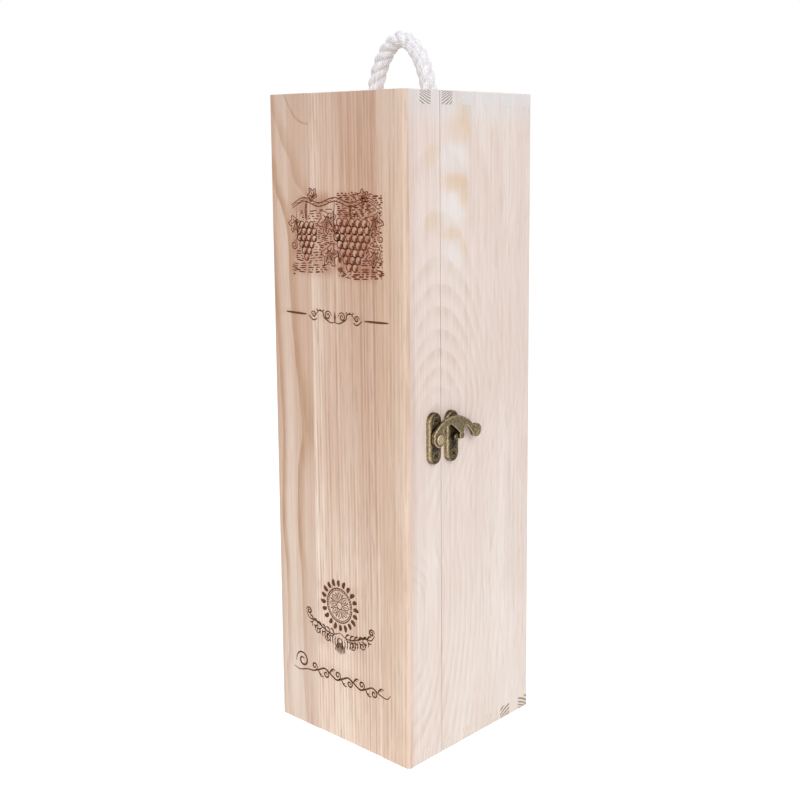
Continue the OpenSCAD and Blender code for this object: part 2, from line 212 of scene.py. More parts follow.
# Lengths of the rope in mm, but its own length and diameter in metres
rope = {
    "route": [  # x and height above the case
        (-20, -7), (-20, -3), (-19.8, 2), (-18.4, 8), (-16, 14.5), (-12.6, 20.6), (-7.2, 26.5), (0, 29.3),
        (7.2, 26.5), (12.6, 20.6), (16, 14.5), (18.4, 8), (19.8, 2), (20, -3), (20, -7),
    ],
    "back": 1.0,           # how far behind the middle of the top it passes
    "length": 0.0899,      # between the knots, along the middle
    "diameter": 0.0092,
    "strands": 3, "strandOffset": 2.05,
    "layLength": 19.5,     # one full turn of a strand
    "yarns": 9, "yarnOffset": 1.8, "yarnRadius": 0.75, "yarnSides": 6,
    "yarnLay": -15.0,      # yarns are twisted against the lay
    "shades": [(0.15, "#C9C6CE"), (0.75, "#EFEEF2")],    # from tone to colour
    "tones": (0.3, 0.7),   # darkest and palest yarn
    "seed": 4,
    "sampleStep": 0.8,
    "knotTight": 0.8,      # the rope is squeezed in its knots
    "knotWidth": 2.5, "knotHeight": 5.4, "knotMiddle": -16.5, "knotSteps": 36,
    "knotGap": 0.2,        # where the knot's loop starts, as an angle
    "knotLead": [(0, 0, -7), (0, -0.6, -9.5), (0.2, -1.6, -13)],
    "knotTail": [(-0.4, -1.8, -19.5), (0, -0.5, -25.4)],
}


def whiteCotton():
    # twisted cotton, bleached: soft and matt, with a fuzz of fibres that catches light at the edges
    material, add = newMaterial("bleachedCottonRope")
    place = add("TexCoord", out="Object")
    yarn = add("Attribute", out="Fac", attribute_name="yarnTone")
    along = add("Attribute", out="Fac", attribute_name="yarnAlong")
    fuzz = add("TexNoise", {"Vector": place, "Scale": 2600.0, "Detail": 3.0})    # 0.4 mm tufts
    # thick and thin places every 2.4 mm
    slub = add("TexNoise", {"W": along, "Scale": 420.0, "Detail": 2.0}, noise_dimensions="1D")
    mixed = add("Math ADD", [fuzz, slub])
    tone = add("Math MULTIPLY_ADD", [mixed, 0.38, -0.19])
    tone = add("Math ADD", [yarn, tone])
    ramp = add("ValToRGB", [tone], out=None)
    fillRamp(ramp, rope["shades"])
    bump = add("Bump", {"Height": fuzz, "Strength": 0.35, "Distance": 0.0002})
    shader = add("BsdfPrincipled", {
        "Base Color": ramp.outputs[0], "Roughness": 0.92, "IOR": 1.5, "Normal": bump,
        "Specular IOR Level": 0.25, "Sheen Weight": 0.25, "Sheen Roughness": 0.5})
    add("OutputMaterial", [shader], out=None)
    return material


def ropeTree():
    # strands wound round the line, then yarns wound round each strand
    tree, add, given = newTree("layRope", [
        ("Strands", "Int"), ("Strand Offset", "Float"), ("Lay Length", "Float"), ("Yarns", "Int"),
        ("Yarn Offset", "Float"), ("Yarn Lay", "Float"), ("Yarn Radius", "Float"), ("Sample Step", "Float")])
    line = add("GeometryNodeMeshToCurve", [given["Geometry"]])
    line = add("GeometryNodeResampleCurve", {"Curve": line, "Length": given["Sample Step"]}, mode="LENGTH")
    layers = (("Strands", "Strand Offset", "Lay Length"), ("Yarns", "Yarn Offset", "Yarn Lay"))
    for count, offset, lay in layers:
        copies = add("GeometryNodeDuplicateElements", {"Geometry": line, "Amount": given[count]}, out=None,
                     domain="SPLINE")
        along = add("GeometryNodeSplineParameter", out="Length")
        turns = add("Math DIVIDE", [along, given[lay]])
        share = add("Math DIVIDE", [copies.outputs[1], given[count]])
        turns = add("Math ADD", [turns, share])
        angle = add("Math MULTIPLY", [turns, 2 * pi])
        normal = add("GeometryNodeInputNormal")
        across = add("VectorMath CROSS_PRODUCT", [add("GeometryNodeInputTangent"), normal])
        parts = [add("VectorMath SCALE", {0: axis, "Scale": add("Math " + way, [angle])})
                 for axis, way in ((normal, "COSINE"), (across, "SINE"))]
        shift = add("VectorMath SCALE", {0: add("VectorMath ADD", parts), "Scale": given[offset]})
        line = add("GeometryNodeSetPosition", {"Geometry": copies.outputs[0], "Offset": shift})
    darkest, palest = rope["tones"]
    chances = {2: darkest, 3: palest, "ID": copies.outputs[1], "Seed": rope["seed"]}
    tone = add("FunctionNodeRandomValue", chances, out=1, data_type="FLOAT")
    length = add("GeometryNodeSplineParameter", out="Length")
    for label, value in (("yarnTone", tone), ("yarnAlong", length)):
        line = add("GeometryNodeStoreNamedAttribute", {"Geometry": line, "Name": label, "Value": value},
                   data_type="FLOAT", domain="POINT")
    ring = add("GeometryNodeCurvePrimitiveCircle",
               {"Resolution": rope["yarnSides"], "Radius": given["Yarn Radius"]})
    body = add("GeometryNodeCurveToMesh", {"Curve": line, "Profile Curve": ring, "Fill Caps": True})
    endTree(add, add("GeometryNodeSetShadeSmooth", [body]), given["Material"])
    return tree


def knotLine(x):
    # an overhand knot drawn tight under the top board, with its tail below
    wide, tall, gap, steps = (rope["knot" + key] for key in ("Width", "Height", "Gap", "Steps"))
    points = list(rope["knotLead"])
    for i in range(steps + 1):
        t = gap + (2 * pi - 2 * gap) * i / steps
        points.append((wide * (sin(t) + 2 * sin(2 * t)), wide * (cos(t) - 2 * cos(2 * t)),
                       rope["knotMiddle"] - tall * sin(3 * t)))
    points += rope["knotTail"]
    return [((x + a) * mm, (rope["back"] + b) * mm, caseSize[2] + c * mm)
            for a, b, c in smoothLine(points, 4)]


def makeRope():
    tree = ropeTree()
    route = [(x * mm, rope["back"] * mm, caseSize[2] + z * mm) for x, z in rope["route"]]
    line = [tuple(p) for p in smoothLine(route, 8)]
    values = {
        "Strands": rope["strands"], "Strand Offset": rope["strandOffset"] * mm,
        "Lay Length": rope["layLength"] * mm, "Yarns": rope["yarns"], "Yarn Offset": rope["yarnOffset"] * mm,
        "Yarn Lay": rope["yarnLay"] * mm, "Yarn Radius": rope["yarnRadius"] * mm,
        "Sample Step": rope["sampleStep"] * mm, "Material": whiteCotton()}
    handle = runTree(lineMesh("ropeHandle", [line]), tree, values)
    tight = {key: values[key] * rope["knotTight"] for key in ("Strand Offset", "Yarn Offset", "Yarn Radius")}
    for name, node, end in (("knotLeft", "rope_knot_left", 0), ("knotRight", "rope_knot_right", -1)):
        knot = runTree(lineMesh(name, [knotLine(rope["route"][end][0])]), tree, {**values, **tight})
        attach(knot, "box")
        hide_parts(node)
    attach(handle, "box")
    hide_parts("rope_handle")


makeRope()
print("rope laid and knotted")


def followProfile(add, value, pairs):
    # a value that changes smoothly along a board, from (place, value) pairs in mm
    places, values = [p for p, v in pairs], [v for p, v in pairs]
    low, high, least, most = min(places), max(places), min(values), max(values)
    most = most if most > least else least + 1
    share = add("MapRange", [value, low, high])
    curve = add("FloatCurve", {1: share}, out=None)
    line = curve.mapping.curves[0]
    spots = sorted(((p - low) / (high - low), (v - least) / (most - least)) for p, v in pairs)
    line.points[0].location, line.points[1].location = spots[0], spots[-1]
    for spot in spots[1:-1]:
        line.points.new(*spot)
    curve.mapping.update()
    return add("MapRange", [curve.outputs[0], 0.0, 1.0, least, most])


# What every pine board starts from; each board changes some of it. Lengths in mm.
pineBase = {
    "along": "Z", "across": "X", "depth": "Y",
    "face": -50.0, "inward": 1.0,
    "pith": [(0, -160), (350, -160)],     # where the rings' middle lies across the board
    "cone": [(0, 0), (350, 1)],           # squared distance that the log's taper adds
    "spread": [(0, 1), (350, 1)],         # below 1 the rings lie flatter and further apart there
    "slope": 0.0,
    "gap": 2.1, "shift": 0.0,
    "line": (0.45, 0.82, 0.93),           # latewood starts, is darkest, ends
    "warp": 1.6, "ripple": 0.5,
    "breaks": 0.35,                       # least strength of a broken ring line
    "lineStrength": 0.42,
    "fade": [(-50, 1), (50, 1)],          # strength of the ring lines across the board, then along it
    "fadeAlong": [(0, 1), (350, 1)],
    "dash": 0.28, "dashFade": [(-50, 1), (50, 1)],
    "fibre": 0.05,
    "stripe": 0.3,                        # how much the board's stripes vary in brown
    "pale": "#EFE0D2", "warm": "#E9D3BF", "late": "#C9A587", "tan": "#D2AD8E", "end": "#DDCDBF",
    "endLate": "#A98B74", "endGap": 1.5,
    "endFade": [(-50, 0.4), (50, 0.4)],   # how hard the rings show on the cut ends, across the board
    "tanAndPaintedShade": [(0, 0.0), (350, 0.0)],    # share of tan along the board, partly painted shade that darkens its upper part
    "shade": [(-50, 0.0), (50, 0.0)],     # share of tan across the board; on the front's left and right boards partly painted shade and light at the outer edges
    "greyAndLightCast": [(0, 0.0), (350, 0.0)], "grey": "#BCA9A2",  # share of grey along the board; on the sides it is a painted cool cast of light at the top
    "stains": [], "stain": "#E2C9AE",     # resin: (across, along, half width, half height, strength)
    "blooms": [], "bloom": "#E9E3E1",     # pale patches between them, likewise
    "smoke": [], "burn": "#B97F58",       # of the burner round the engraving, likewise
    "seed": (0.0, 0.0, 0.0),
}
pineNoises = [  # use, cell width and length in mm, detail, roughness
    ("broad", 30, 110, 1.0, 0.5), ("fine", 6, 30, 2.0, 0.5), ("breaks", 3, 26, 2.0, 0.5),
    ("dash", 1.5, 22, 2.0, 0.6), ("fibre", 0.7, 16, 3.0, 0.6), ("cloud", 26, 90, 2.0, 0.5),
    ("stripe", 1.9, 260, 2.5, 0.6), ("smoke", 9, 11, 2.0, 0.5),
]


def woodPlaces(add, board, place):
    # what a board's patterns are drawn from: where it is in mm, noises by their use, and its place bent a
    # little as its rings are, broadly and finely
    inMm = add("VectorMath MULTIPLY", [place, (1 / mm,) * 3])
    axes = dict(zip("XYZ", add("SeparateXYZ", [inMm], out=None).outputs))
    wood = {key: axes[board[key]] for key in ("across", "depth", "along")}
    bent = add("CombineXYZ", list(wood.values()))
    seeded = add("VectorMath ADD", [bent, board["seed"]])
    colours = {}
    for use, wide, tall, detail, rough in pineNoises:
        size = add("VectorMath MULTIPLY", [seeded, (1 / wide, 1 / wide, 1 / tall)])
        noise = {"Vector": size, "Scale": 1.0, "Detail": detail, "Roughness": rough}
        wood[use], colours[use] = add("TexNoise", noise, out=None).outputs
    for use, reach in (("broad", board["warp"]), ("fine", board["ripple"])):
        push = add("VectorMath MULTIPLY_ADD", [colours[use], (2 * reach, 2 * reach, 0), (-reach, -reach, 0)])
        bent = add("VectorMath ADD", [bent, push])
    return {**wood, "inMm": inMm, "bent": bent}


def growthRings(add, board, wood):
    # rings by their distance from a pith that wanders along the log: gives that distance, how far through
    # its year the wood is, and the strength of the latewood line
    a, b, c = add("SeparateXYZ", [wood["bent"]], out=None).outputs
    aside = add("Math SUBTRACT", [a, followProfile(add, c, board["pith"])])
    wide = add("Math MULTIPLY", [aside, followProfile(add, c, board["spread"])])
    squared = add("Math MULTIPLY_ADD", [aside, wide, followProfile(add, c, board["cone"])])
    tilt = board["inward"] * board["slope"]
    inside = add("Math MULTIPLY_ADD", [b, tilt, -board["face"] * tilt])
    squared = add("Math ADD", [squared, inside])
    squared = add("Math MAXIMUM", [squared, 0.01])
    radius = add("Math SQRT", [squared])
    ring = add("Math MULTIPLY_ADD", [radius, 1 / board["gap"], board["shift"]])
    share = add("Math FRACT", [ring])
    count = add("Math FLOOR", [ring])
    year = add("TexWhiteNoise", {"W": count}, noise_dimensions="1D")
    year = add("MapRange", [year, 0.0, 1.0, 0.5, 1.0])    # some years draw a fainter line
    start, peak, stop = board["line"]
    line = add("MapRange", [share, start, peak], **smoothStep)
    ended = add("MapRange", [share, stop, 1.0, 1.0, 0.0], **smoothStep)
    broken = add("MapRange", [wood["breaks"], 0.38, 0.6, board["breaks"], 1.0], **smoothStep)
    for factor in (ended, year, broken, followProfile(add, wood["across"], board["fade"]),
                   followProfile(add, wood["along"], board["fadeAlong"])):
        line = add("Math MULTIPLY", [line, factor])
    return radius, share, line


def sawnFace(add, board, wood, share, line):
    # colour along the grain: stripes of pale and brown wood, tan and grey shares that are partly painted
    # shade and light, resin where knots were near, then the ring lines and dashes
    across, along = wood["across"], wood["along"]
    dash = add("MapRange", [wood["dash"], 0.56, 0.7, 0.0, board["dash"]], **smoothStep)
    dash = add("Math MULTIPLY", [dash, followProfile(add, across, board["dashFade"])])
    cloud = add("MapRange", [wood["cloud"], 0.35, 0.65], **smoothStep)
    stripe = add("MapRange", [wood["stripe"], 0.3, 0.7, -board["stripe"], board["stripe"]])
    # tan share: partly painted shade, darker up the boards and at the front's outer edges
    tanAndPaintedShade = add("Math ADD", [followProfile(add, along, board["tanAndPaintedShade"]), stripe])
    tanAndPaintedShade = add("Math ADD", [followProfile(add, across, board["shade"]), tanAndPaintedShade])
    # the grey share is a painted cool cast of light on the sides' top
    layers = [(cloud, "warm"), (tanAndPaintedShade, "tan"), (followProfile(add, along, board["greyAndLightCast"]), "grey")]
    gate = add("MapRange", [share, -0.1, 0.8], **smoothStep)
    for kind, kept in (("bloom", 1.0), ("stain", gate)):
        for u, v, wide, tall, amount in board[kind + "s"]:
            scale, middle = (1 / wide, 0, 1 / tall), (-u / wide, 0, -v / tall)
            far = add("VectorMath MULTIPLY_ADD", [wood["bent"], scale, middle])
            far = add("VectorMath LENGTH", [far], out="Value")
            patch = add("MapRange", [far, 0.3, 1.0, amount, 0.0], **smoothStep)
            layers.append((add("Math MULTIPLY", [patch, kept]), kind))
    inked = add("Math MULTIPLY", [line, board["lineStrength"]])
    layers += [(inked, "late"), (dash, "late")]
    colour = board["pale"]
    for amount, shade in layers:
        colour = add("Mix", {0: amount, 6: colour, 7: board[shade]}, **colourMix)
    return colour


def cutEnd(add, board, wood, radius):
    # colour across the grain: darker, with the rings drawn close and hard, and open pores
    ring = add("Math MULTIPLY", [radius, 1 / board["endGap"]])
    ring = add("Math PINGPONG", [ring, 0.5])
    ring = add("MapRange", [ring, 0.16, 0.34], **smoothStep)
    ring = add("Math MULTIPLY", [ring, followProfile(add, wood["across"], board["endFade"])])
    pores = add("TexNoise", {"Vector": wood["inMm"], "Scale": 2.6, "Detail": 2.0})    # 0.4 mm wide
    pores = add("MapRange", [pores, 0.5, 0.75, 0.0, 0.22], **smoothStep)
    colour = board["end"]
    for amount in (ring, pores):
        colour = add("Mix", {0: amount, 6: colour, 7: board["endLate"]}, **colourMix)
    return colour


def burnerSmoke(add, board, wood, colour):
    # brown smoke of the burner round the engraving, on the face only
    skin = add("Math ABSOLUTE", [add("Math SUBTRACT", [wood["depth"], board["face"]])])
    skin = add("MapRange", [skin, 0.3, 1.0, 1.0, 0.0])
    drift = add("MapRange", [wood["smoke"], 0.35, 0.65, 0.2, 1.0], **smoothStep)
    for u, v, halfWide, halfTall, amount in board["smoke"]:
        reaches = []
        for value, middle, half in ((wood["across"], u, halfWide), (wood["along"], v, halfTall)):
            off = add("Math ABSOLUTE", [add("Math SUBTRACT", [value, middle])])
            reaches.append(add("Math SUBTRACT", [off, half]))
        haze = add("Math MAXIMUM", reaches)
        haze = add("MapRange", [haze, -6.0, 2.5, amount, 0.0], **smoothStep)
        for factor in (drift, skin):
            haze = add("Math MULTIPLY", [haze, factor])
        colour = add("Mix", {0: haze, 6: colour, 7: board["burn"]}, blend_type="MULTIPLY", **colourMix)
    return colour


def pineMaterial(name, changes):
    # sanded bare pine: pale earlywood, sharp-ended latewood lines, matt with a slight satin along the fibres
    board = {**pineBase, **changes}
    material, add = newMaterial(name)
    coords = add("TexCoord", out=None).outputs
    wood = woodPlaces(add, board, coords["Object"])
    radius, share, line = growthRings(add, board, wood)
    face, end = sawnFace(add, board, wood, share, line), cutEnd(add, board, wood, radius)
    sides = add("SeparateXYZ", [coords["Normal"]], out=None).outputs
    toEnd = add("Math ABSOLUTE", [sides["XYZ".index(board["along"])]])
    toEnd = add("MapRange", [toEnd, 0.6, 0.85], **smoothStep)
    colour = add("Mix", {0: toEnd, 6: face, 7: end}, **colourMix)
    colour = burnerSmoke(add, board, wood, colour)
    fibre = wood["fibre"]
    tone = add("MapRange", [fibre, 0.3, 0.7, 1 - board["fibre"], 1 + board["fibre"]])
    colour = add("VectorMath SCALE", {0: colour, "Scale": tone})
    rough = add("MapRange", [fibre, 0.3, 0.7, 0.5, 0.66])
    height = add("Math MULTIPLY_ADD", [line, -1.2, fibre])
    bump = add("Bump", {"Height": height, "Strength": 0.3, "Distance": 0.00012})
    shader = add("BsdfPrincipled", {
        "Base Color": colour, "Roughness": rough, "IOR": 1.46, "Specular IOR Level": 0.35, "Normal": bump})
    add("OutputMaterial", [shader], out=None)
    return material


# The two sides of the case are each one plank, sawn apart for the lid after glue-up
sideGrain = {
    "across": "Y", "depth": "X", "face": 50.0, "inward": -1.0,
    "pith": [(0, -50), (100, -49), (140, -44), (175, -32), (195, -27), (350, -25)],
    "cone": [(0, 1020), (19, 700), (31, 470), (85, 8), (130, 500), (160, 330), (190, 284), (200, 445),
             (210, 640), (220, 876), (230, 1142), (242, 1444), (254, 1789), (269, 2162), (292, 2570),
             (326, 3014), (350, 3300)],
    "spread": [(0, 1), (235, 1), (300, 0.5), (350, 0.4)],
    "slope": 60.0, "gap": 4.24, "shift": 0.03, "warp": 1.8,
    "line": (0.2, 0.78, 0.9), "lineStrength": 0.36, "breaks": 0.3,
    "fade": [(-50, 0.5), (-42, 0.8), (-36, 1), (-6, 1), (4, 0.75), (14, 0.5), (50, 0.4)],
    "fadeAlong": [(0, 0.85), (50, 0.8), (80, 0.5), (140, 0.5), (170, 0.8), (200, 1), (290, 0.9), (350, 0.7)],
    "dash": 0.26, "dashFade": [(-50, 0.35), (-20, 0.2), (0, 0.75), (12, 1), (50, 0.9)], "stripe": 0.14,
    "pale": "#EEE3DC", "warm": "#EADBD2", "late": "#C2AA8E", "tan": "#CDB1A8",
    # paler at the foot and tanner at the top, partly painted shade for the top getting less light
    "tanAndPaintedShade": [(0, -0.1), (60, 0.0), (110, 0.14), (220, 0.24), (350, 0.28)],
    "shade": [(-50, 0.4), (-46, 0.33), (-38, 0.05), (-30, 0.0), (50, 0.0)],
    # painted light: a cool pale cast over the top of each side
    "greyAndLightCast": [(0, 0.0), (320, 0.0), (338, 0.3), (350, 0.6)], "grey": "#DFE2E6",
    "stains": [(-9.5, 331, 13, 9, 0.9), (-6, 339, 4, 9, 0.6), (-12.5, 304, 15, 6.5, 0.9),
               (-6, 297, 4.5, 10, 0.8), (-14, 278, 14, 4.5, 0.5), (-5, 270, 4.5, 10, 0.5),
               (-31, 319, 7, 10, 0.45), (-31, 286, 7, 11, 0.45)],
    "blooms": [(-14, 316, 16, 12, 0.7), (-14, 291, 14, 12, 0.7), (-13, 267, 12, 10, 0.5)],
    "seed": (11.0, 3.0, 40.0),
}
grains = {
    "rightSidePine": sideGrain,
    "leftSidePine": {**sideGrain, "face": -50.0, "inward": 1.0, "shift": 0.3, "seed": (90.0, 41.0, 7.0),
                     "pith": [(0, 12), (120, 6), (240, 14), (350, 22)],
                     "cone": [(0, 1600), (120, 900), (240, 300), (350, 40)],
                     "fade": [(-50, 0.5), (-20, 1), (40, 1), (50, 0.6)], "fadeAlong": [(0, 1), (350, 0.8)],
                     "stains": [(15, 60, 12, 9, 0.8)], "blooms": [], "shade": [(-50, 0.1), (50, 0.1)]},
    "topPine": {"along": "X", "across": "Y", "depth": "Z", "face": 350.0, "inward": -1.0,
                "pith": [(-50, -26), (50, -28)], "cone": [(-50, 25), (50, 25)], "slope": 30.0,
                "gap": 2.6, "lineStrength": 0.4, "warp": 0.8, "seed": (5.0, 60.0, 21.0),
                "end": "#E4E0DF", "endLate": "#8B786C",
                "endFade": [(-50, 0.85), (-16, 0.85), (-11, 0.3), (0, 0.16), (50, 0.12)],
                "pale": "#ECDFD5", "warm": "#E8D6C8"},
    "bottomPine": {"along": "X", "across": "Y", "depth": "Z", "face": 0.0,
                   "pith": [(-50, 39), (50, 38)], "cone": [(-50, 25), (50, 25)], "slope": 30.0,
                   "gap": 2.8, "lineStrength": 0.4, "warp": 0.8, "seed": (77.0, 12.0, 2.0),
                   "end": "#EFE2D8", "endLate": "#8B786C", "endGap": 2.4,
                   "endFade": [(-50, 0.14), (8, 0.2), (20, 0.3), (25, 0.8), (50, 0.85)],
                   "pale": "#ECDFD5", "warm": "#E8D6C8"},
    "backPine": {"face": 50.0, "inward": -1.0,
                 "pith": [(0, -6), (350, 4)], "cone": [(0, 150), (200, 700), (350, 1500)], "slope": 50.0,
                 "gap": 3.0, "lineStrength": 0.5, "seed": (31.0, 8.0, 66.0)},
    "faceLeftPine": {
        "pith": [(0, -17), (20, -17.7), (40, -14.4), (60, -14.2), (80, -14.2), (100, -15.7), (120, -16.6),
                 (140, -16.4), (156, -17), (174, -18.2), (190, -18.8), (210, -17.6), (230, -18.7),
                 (298, -18.9), (350, -19)],
        "cone": [(0, 668), (20, 622), (40, 482), (60, 463), (140, 466), (156, 591), (174, 715), (190, 684),
                 (210, 529), (230, 482), (252, 446), (276, 497), (298, 280), (310, 136), (328, 69),
                 (338, -35), (350, -140)],
        "spread": [(0, 1.55), (230, 1.55), (252, 1.45), (276, 1.2), (298, 0.86), (312, 0.84),
                   (328, 0.44), (350, 0.44)],
        "gap": 12.5, "shift": 0.6, "warp": 0.5, "ripple": 0.45,
        "line": (0.5, 0.94, 0.965), "lineStrength": 0.9, "breaks": 0.7,
        "dash": 0.2, "stripe": 0.14,
        "pale": "#EBD9CB", "warm": "#E4CFBF", "late": "#B68D6D", "tan": "#C3997C",
        "greyAndLightCast": [(0, 0.0), (250, 0.03), (300, 0.08), (350, 0.3)],
        "fadeAlong": [(0, 0.4), (60, 0.5), (120, 1), (350, 1)],
        # the band from -50 to -43 is painted shade on the rounded left edge, turned from the light; the tan
        # past -34 is the wood
        "shade": [(-50, 0.46), (-46.5, 0.38), (-43, 0.05), (-37, 0.0), (-34, 0.25), (-20, 0.3)],
        # tanner up the board, partly painted shade
        "tanAndPaintedShade": [(0, -0.1), (120, 0.12), (200, 0.34), (350, 0.4)],
        "smoke": [(-26.5, 277, 8, 23, 0.5), (-34, 234, 10, 1.5, 0.3)], "seed": (2.0, 17.0, 5.0)},
    "faceMiddlePine": {
        "pith": [(0, -150), (350, -152)], "gap": 2.3, "warp": 0.5, "ripple": 0.12,
        "line": (0.25, 0.72, 0.86), "lineStrength": 0.55, "breaks": 0.3,
        "dash": 0.26, "fibre": 0.07, "stripe": 0.2,
        "pale": "#F7E6D7", "warm": "#F0DAC8", "late": "#AD8468", "tan": "#BE9379",
        "greyAndLightCast": [(0, 0.0), (300, 0.0), (350, 0.25)],
        # tanner up the board, partly painted shade
        "tanAndPaintedShade": [(0, -0.12), (60, 0.0), (140, 0.32), (230, 0.52), (350, 0.58)],
        "shade": [(-20, -0.1), (-8, 0.02), (6, 0.12), (18, 0.26), (31, 0.26)],
        "smoke": [(4, 277, 31, 23, 0.55), (0, 234, 21, 2.5, 0.3), (-1, 70, 21, 21, 0.25),
                  (0, 36, 36, 5, 0.25)],
        "seed": (52.0, 30.0, 9.0)},
    "faceRightPine": {
        "pith": [(0, 190), (350, 193)], "gap": 2.6, "warp": 0.6, "ripple": 0.15,
        "line": (0.3, 0.78, 0.9), "lineStrength": 0.45, "breaks": 0.2,
        "dash": 0.24, "fibre": 0.06, "stripe": 0.2,
        "pale": "#F0DCCB", "warm": "#E9CFBB", "late": "#B08C70", "tan": "#C59F82",
        "greyAndLightCast": [(0, 0.0), (270, 0.0), (310, 0.15), (350, 0.3)],
        # tanner up the middle and paler at the top, partly painted light and shade
        "tanAndPaintedShade": [(0, -0.02), (120, 0.2), (260, 0.44), (300, 0.24), (350, -0.05)],
        # paler towards 50: painted light on the rounded right edge, which catches the light
        "shade": [(31, 0.38), (38, 0.24), (50, 0.02)], "seed": (70.0, 5.0, 90.0)},
}
pine = {name: pineMaterial(name, changes) for name, changes in grains.items()}
print("pine mixed for", len(pine), "boards")

boards = {
    "plane": -0.04996,    # the front is planed to here, so that the burnt strokes stay inside the case
    "edge": 0.6,          # rounding of the case's outer edges, mm
    "sawn": 0.5, "joint": 0.2, "hole": 0.6,    # shares of it for sawn edges, joints and the rope's holes
    "cut": (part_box("box_top_end")[0].y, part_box("lid_top_end")[1].y),    # the two sides of the saw cut
    "rim": 0.0057,        # what lies this near the middle of a rope's hole is its rim
    "flat": 25,           # angle in degrees under which two faces count as one
    "finger": 0.0015,     # an edge no longer than this stays sharp
    "hard": 35,           # angle in degrees past which an edge shades as an edge
    "pieces": [
        ("backPanel", "back_panel", "backPine", "box", "pine"),
        ("boxLeftSide", "box_left_side", "leftSidePine", "box", "pine"),
        ("boxRightSide", "box_right_side", "rightSidePine", "box", "pine"),
        ("boxTopEnd", "box_top_end", "topPine", "box", "pine"),
        ("boxBottomEnd", "box_bottom_end", "bottomPine", "box", "pine"),
        ("lidLeftSide", "lid_left_side", "leftSidePine", "lid", "pine"),
        ("lidRightSide", "lid_right_side", "rightSidePine", "lid", "pine"),
        ("lidTopEnd", "lid_top_end", "topPine", "lid", "pine"),
        ("lidBottomEnd", "lid_bottom_end", "bottomPine", "lid", "pine"),
        ("faceLeft", "lid_face_left", "faceLeftPine", "lid", "face_pine"),
        ("faceMiddle", "lid_face_middle", "faceMiddlePine", "lid", "face_pine"),
        ("faceRight", "lid_face_right", "faceRightPine", "lid", "face_pine"),
    ],
}


def edgeShare(edge):
    # how much of the full rounding an edge of a board gets
    if len(edge.link_faces) != 2 or edge.calc_face_angle() < radians(boards["flat"]):
        return 0.0
    ends = [v.co for v in edge.verts]

    def liesOn(axis, *spots):
        return any(all(abs(p[axis] - spot) < 2e-5 for p in ends) for spot in spots)

    wide, deep, tall = caseSize
    outer = liesOn(0, -wide / 2, wide / 2) + liesOn(1, -deep / 2, deep / 2) + liesOn(2, 0, tall)
    if outer >= 2:
        return 1.0
    if outer and liesOn(1, *boards["cut"]):
        return boards["sawn"]
    holeX, holeY = rope["route"][-1][0] * mm, rope["back"] * mm
    if liesOn(2, tall) and all(hypot(abs(p.x) - holeX, p.y - holeY) < boards["rim"] for p in ends):
        return boards["hole"]
    return boards["joint"] if outer and edge.calc_length() > boards["finger"] else 0.0


def makeBoard(name, node):
    work = mergedCopy(node)
    bmesh.ops.dissolve_limit(work, angle_limit=radians(0.5), verts=work.verts, edges=work.edges)
    weights = work.edges.layers.float.new("bevel_weight_edge")
    for face in work.faces:
        face.smooth = True
    for edge in work.edges:
        edge[weights] = edgeShare(edge)
    for vertex in work.verts:
        vertex.co.y = max(vertex.co.y, boards["plane"])
    obj = newObject(name, endWork(work, name))
    bevel = obj.modifiers.new("edges", "BEVEL")
    bevel.width, bevel.segments, bevel.limit_method = boards["edge"] * mm, 3, "WEIGHT"
    settle(obj).data.set_sharp_from_angle(angle=radians(boards["hard"]))
    even = obj.modifiers.new("even", "WEIGHTED_NORMAL")
    even.keep_sharp = True
    return settle(obj)


boardObjects = {}
for name, node, grain, body, slot in boards["pieces"]:
    obj = makeBoard(name, node)
    obj.data.materials.append(pine[grain])
    boardObjects[name] = (obj, node, body, slot)
print("boards copied and eased")

engraving = {
    "flatness": 0.4,        # depth as a share of half the width
    "proud": 0.03,
    "weight": 1.45,         # every stroke's width is this many times what is drawn below
    "step": 0.28,           # points of a stroke lie further apart than this
    "middle": 49.0, "rule": 234.0, "flourish": 35.0,
    "medallion": (49.0, 76.5, 14.8),
    "light": ("#5E2C1A", "#8C4F35"), "dark": ("#482C18", "#785136"),
    "deepens": (0.248, 0.240),    # heights in metres between which light turns to dark
    "sides": 6, "seed": 12,
}
strokes = []
covered = []                # (u, z, radius) of what is drawn already, left clear by the hatching
chance = random.Random(engraving["seed"])


def polar(u, z, radius, angle):
    return u + radius * cos(angle), z + radius * sin(angle)


def stroke(points, width, thin=0.35, smooth=True):
    # one cut of the burner: (u, z) points in mm from the face's lower left corner, thinner at both ends
    line = [np.array((u, z, 0.0)) for u, z in points]
    if smooth and len(points) > 2:
        line = smoothLine(line, 5)
    kept = [line[0]]
    for p in line[1:]:
        if np.linalg.norm(p - kept[-1]) > engraving["step"]:
            kept.append(p)
    if len(kept) < 2:
        return
    if len(kept) == 2:
        kept.insert(1, (kept[0] + kept[1]) / 2)
    last = len(kept) - 1
    swell = [max(sin(pi * i / last), 0) ** 0.6 for i in range(last + 1)]
    reach = [0.5 * engraving["weight"] * width * (thin + (1 - thin) * k) for k in swell]
    strokes.append(([(p[0], p[1]) for p in kept], reach))


def arc(u, z, radius, start, stop, width, thin=0.5):
    count = max(5, int(abs(stop - start) * pi / 180 * radius / 0.6))
    turns = [radians(start + (stop - start) * i / count) for i in range(count + 1)]
    stroke([polar(u, z, radius, t) for t in turns], width, thin, smooth=False)


def spiral(u, z, outer, inner, start, turns, width, thin=0.3):
    count = int(abs(turns) * 20)
    points = []
    for i in range(count + 1):
        share = i / count
        radius = outer + (inner - outer) * share ** 0.8
        points.append(polar(u, z, radius, radians(start) + 2 * pi * turns * share))
    stroke(points, width, thin, smooth=False)


def sprig(u, z, side, points, width, thin=0.35):
    # a stroke that starts from (u, z), turned to the left where side is -1
    stroke([(u + side * a, z + b) for a, b in points], width, thin)


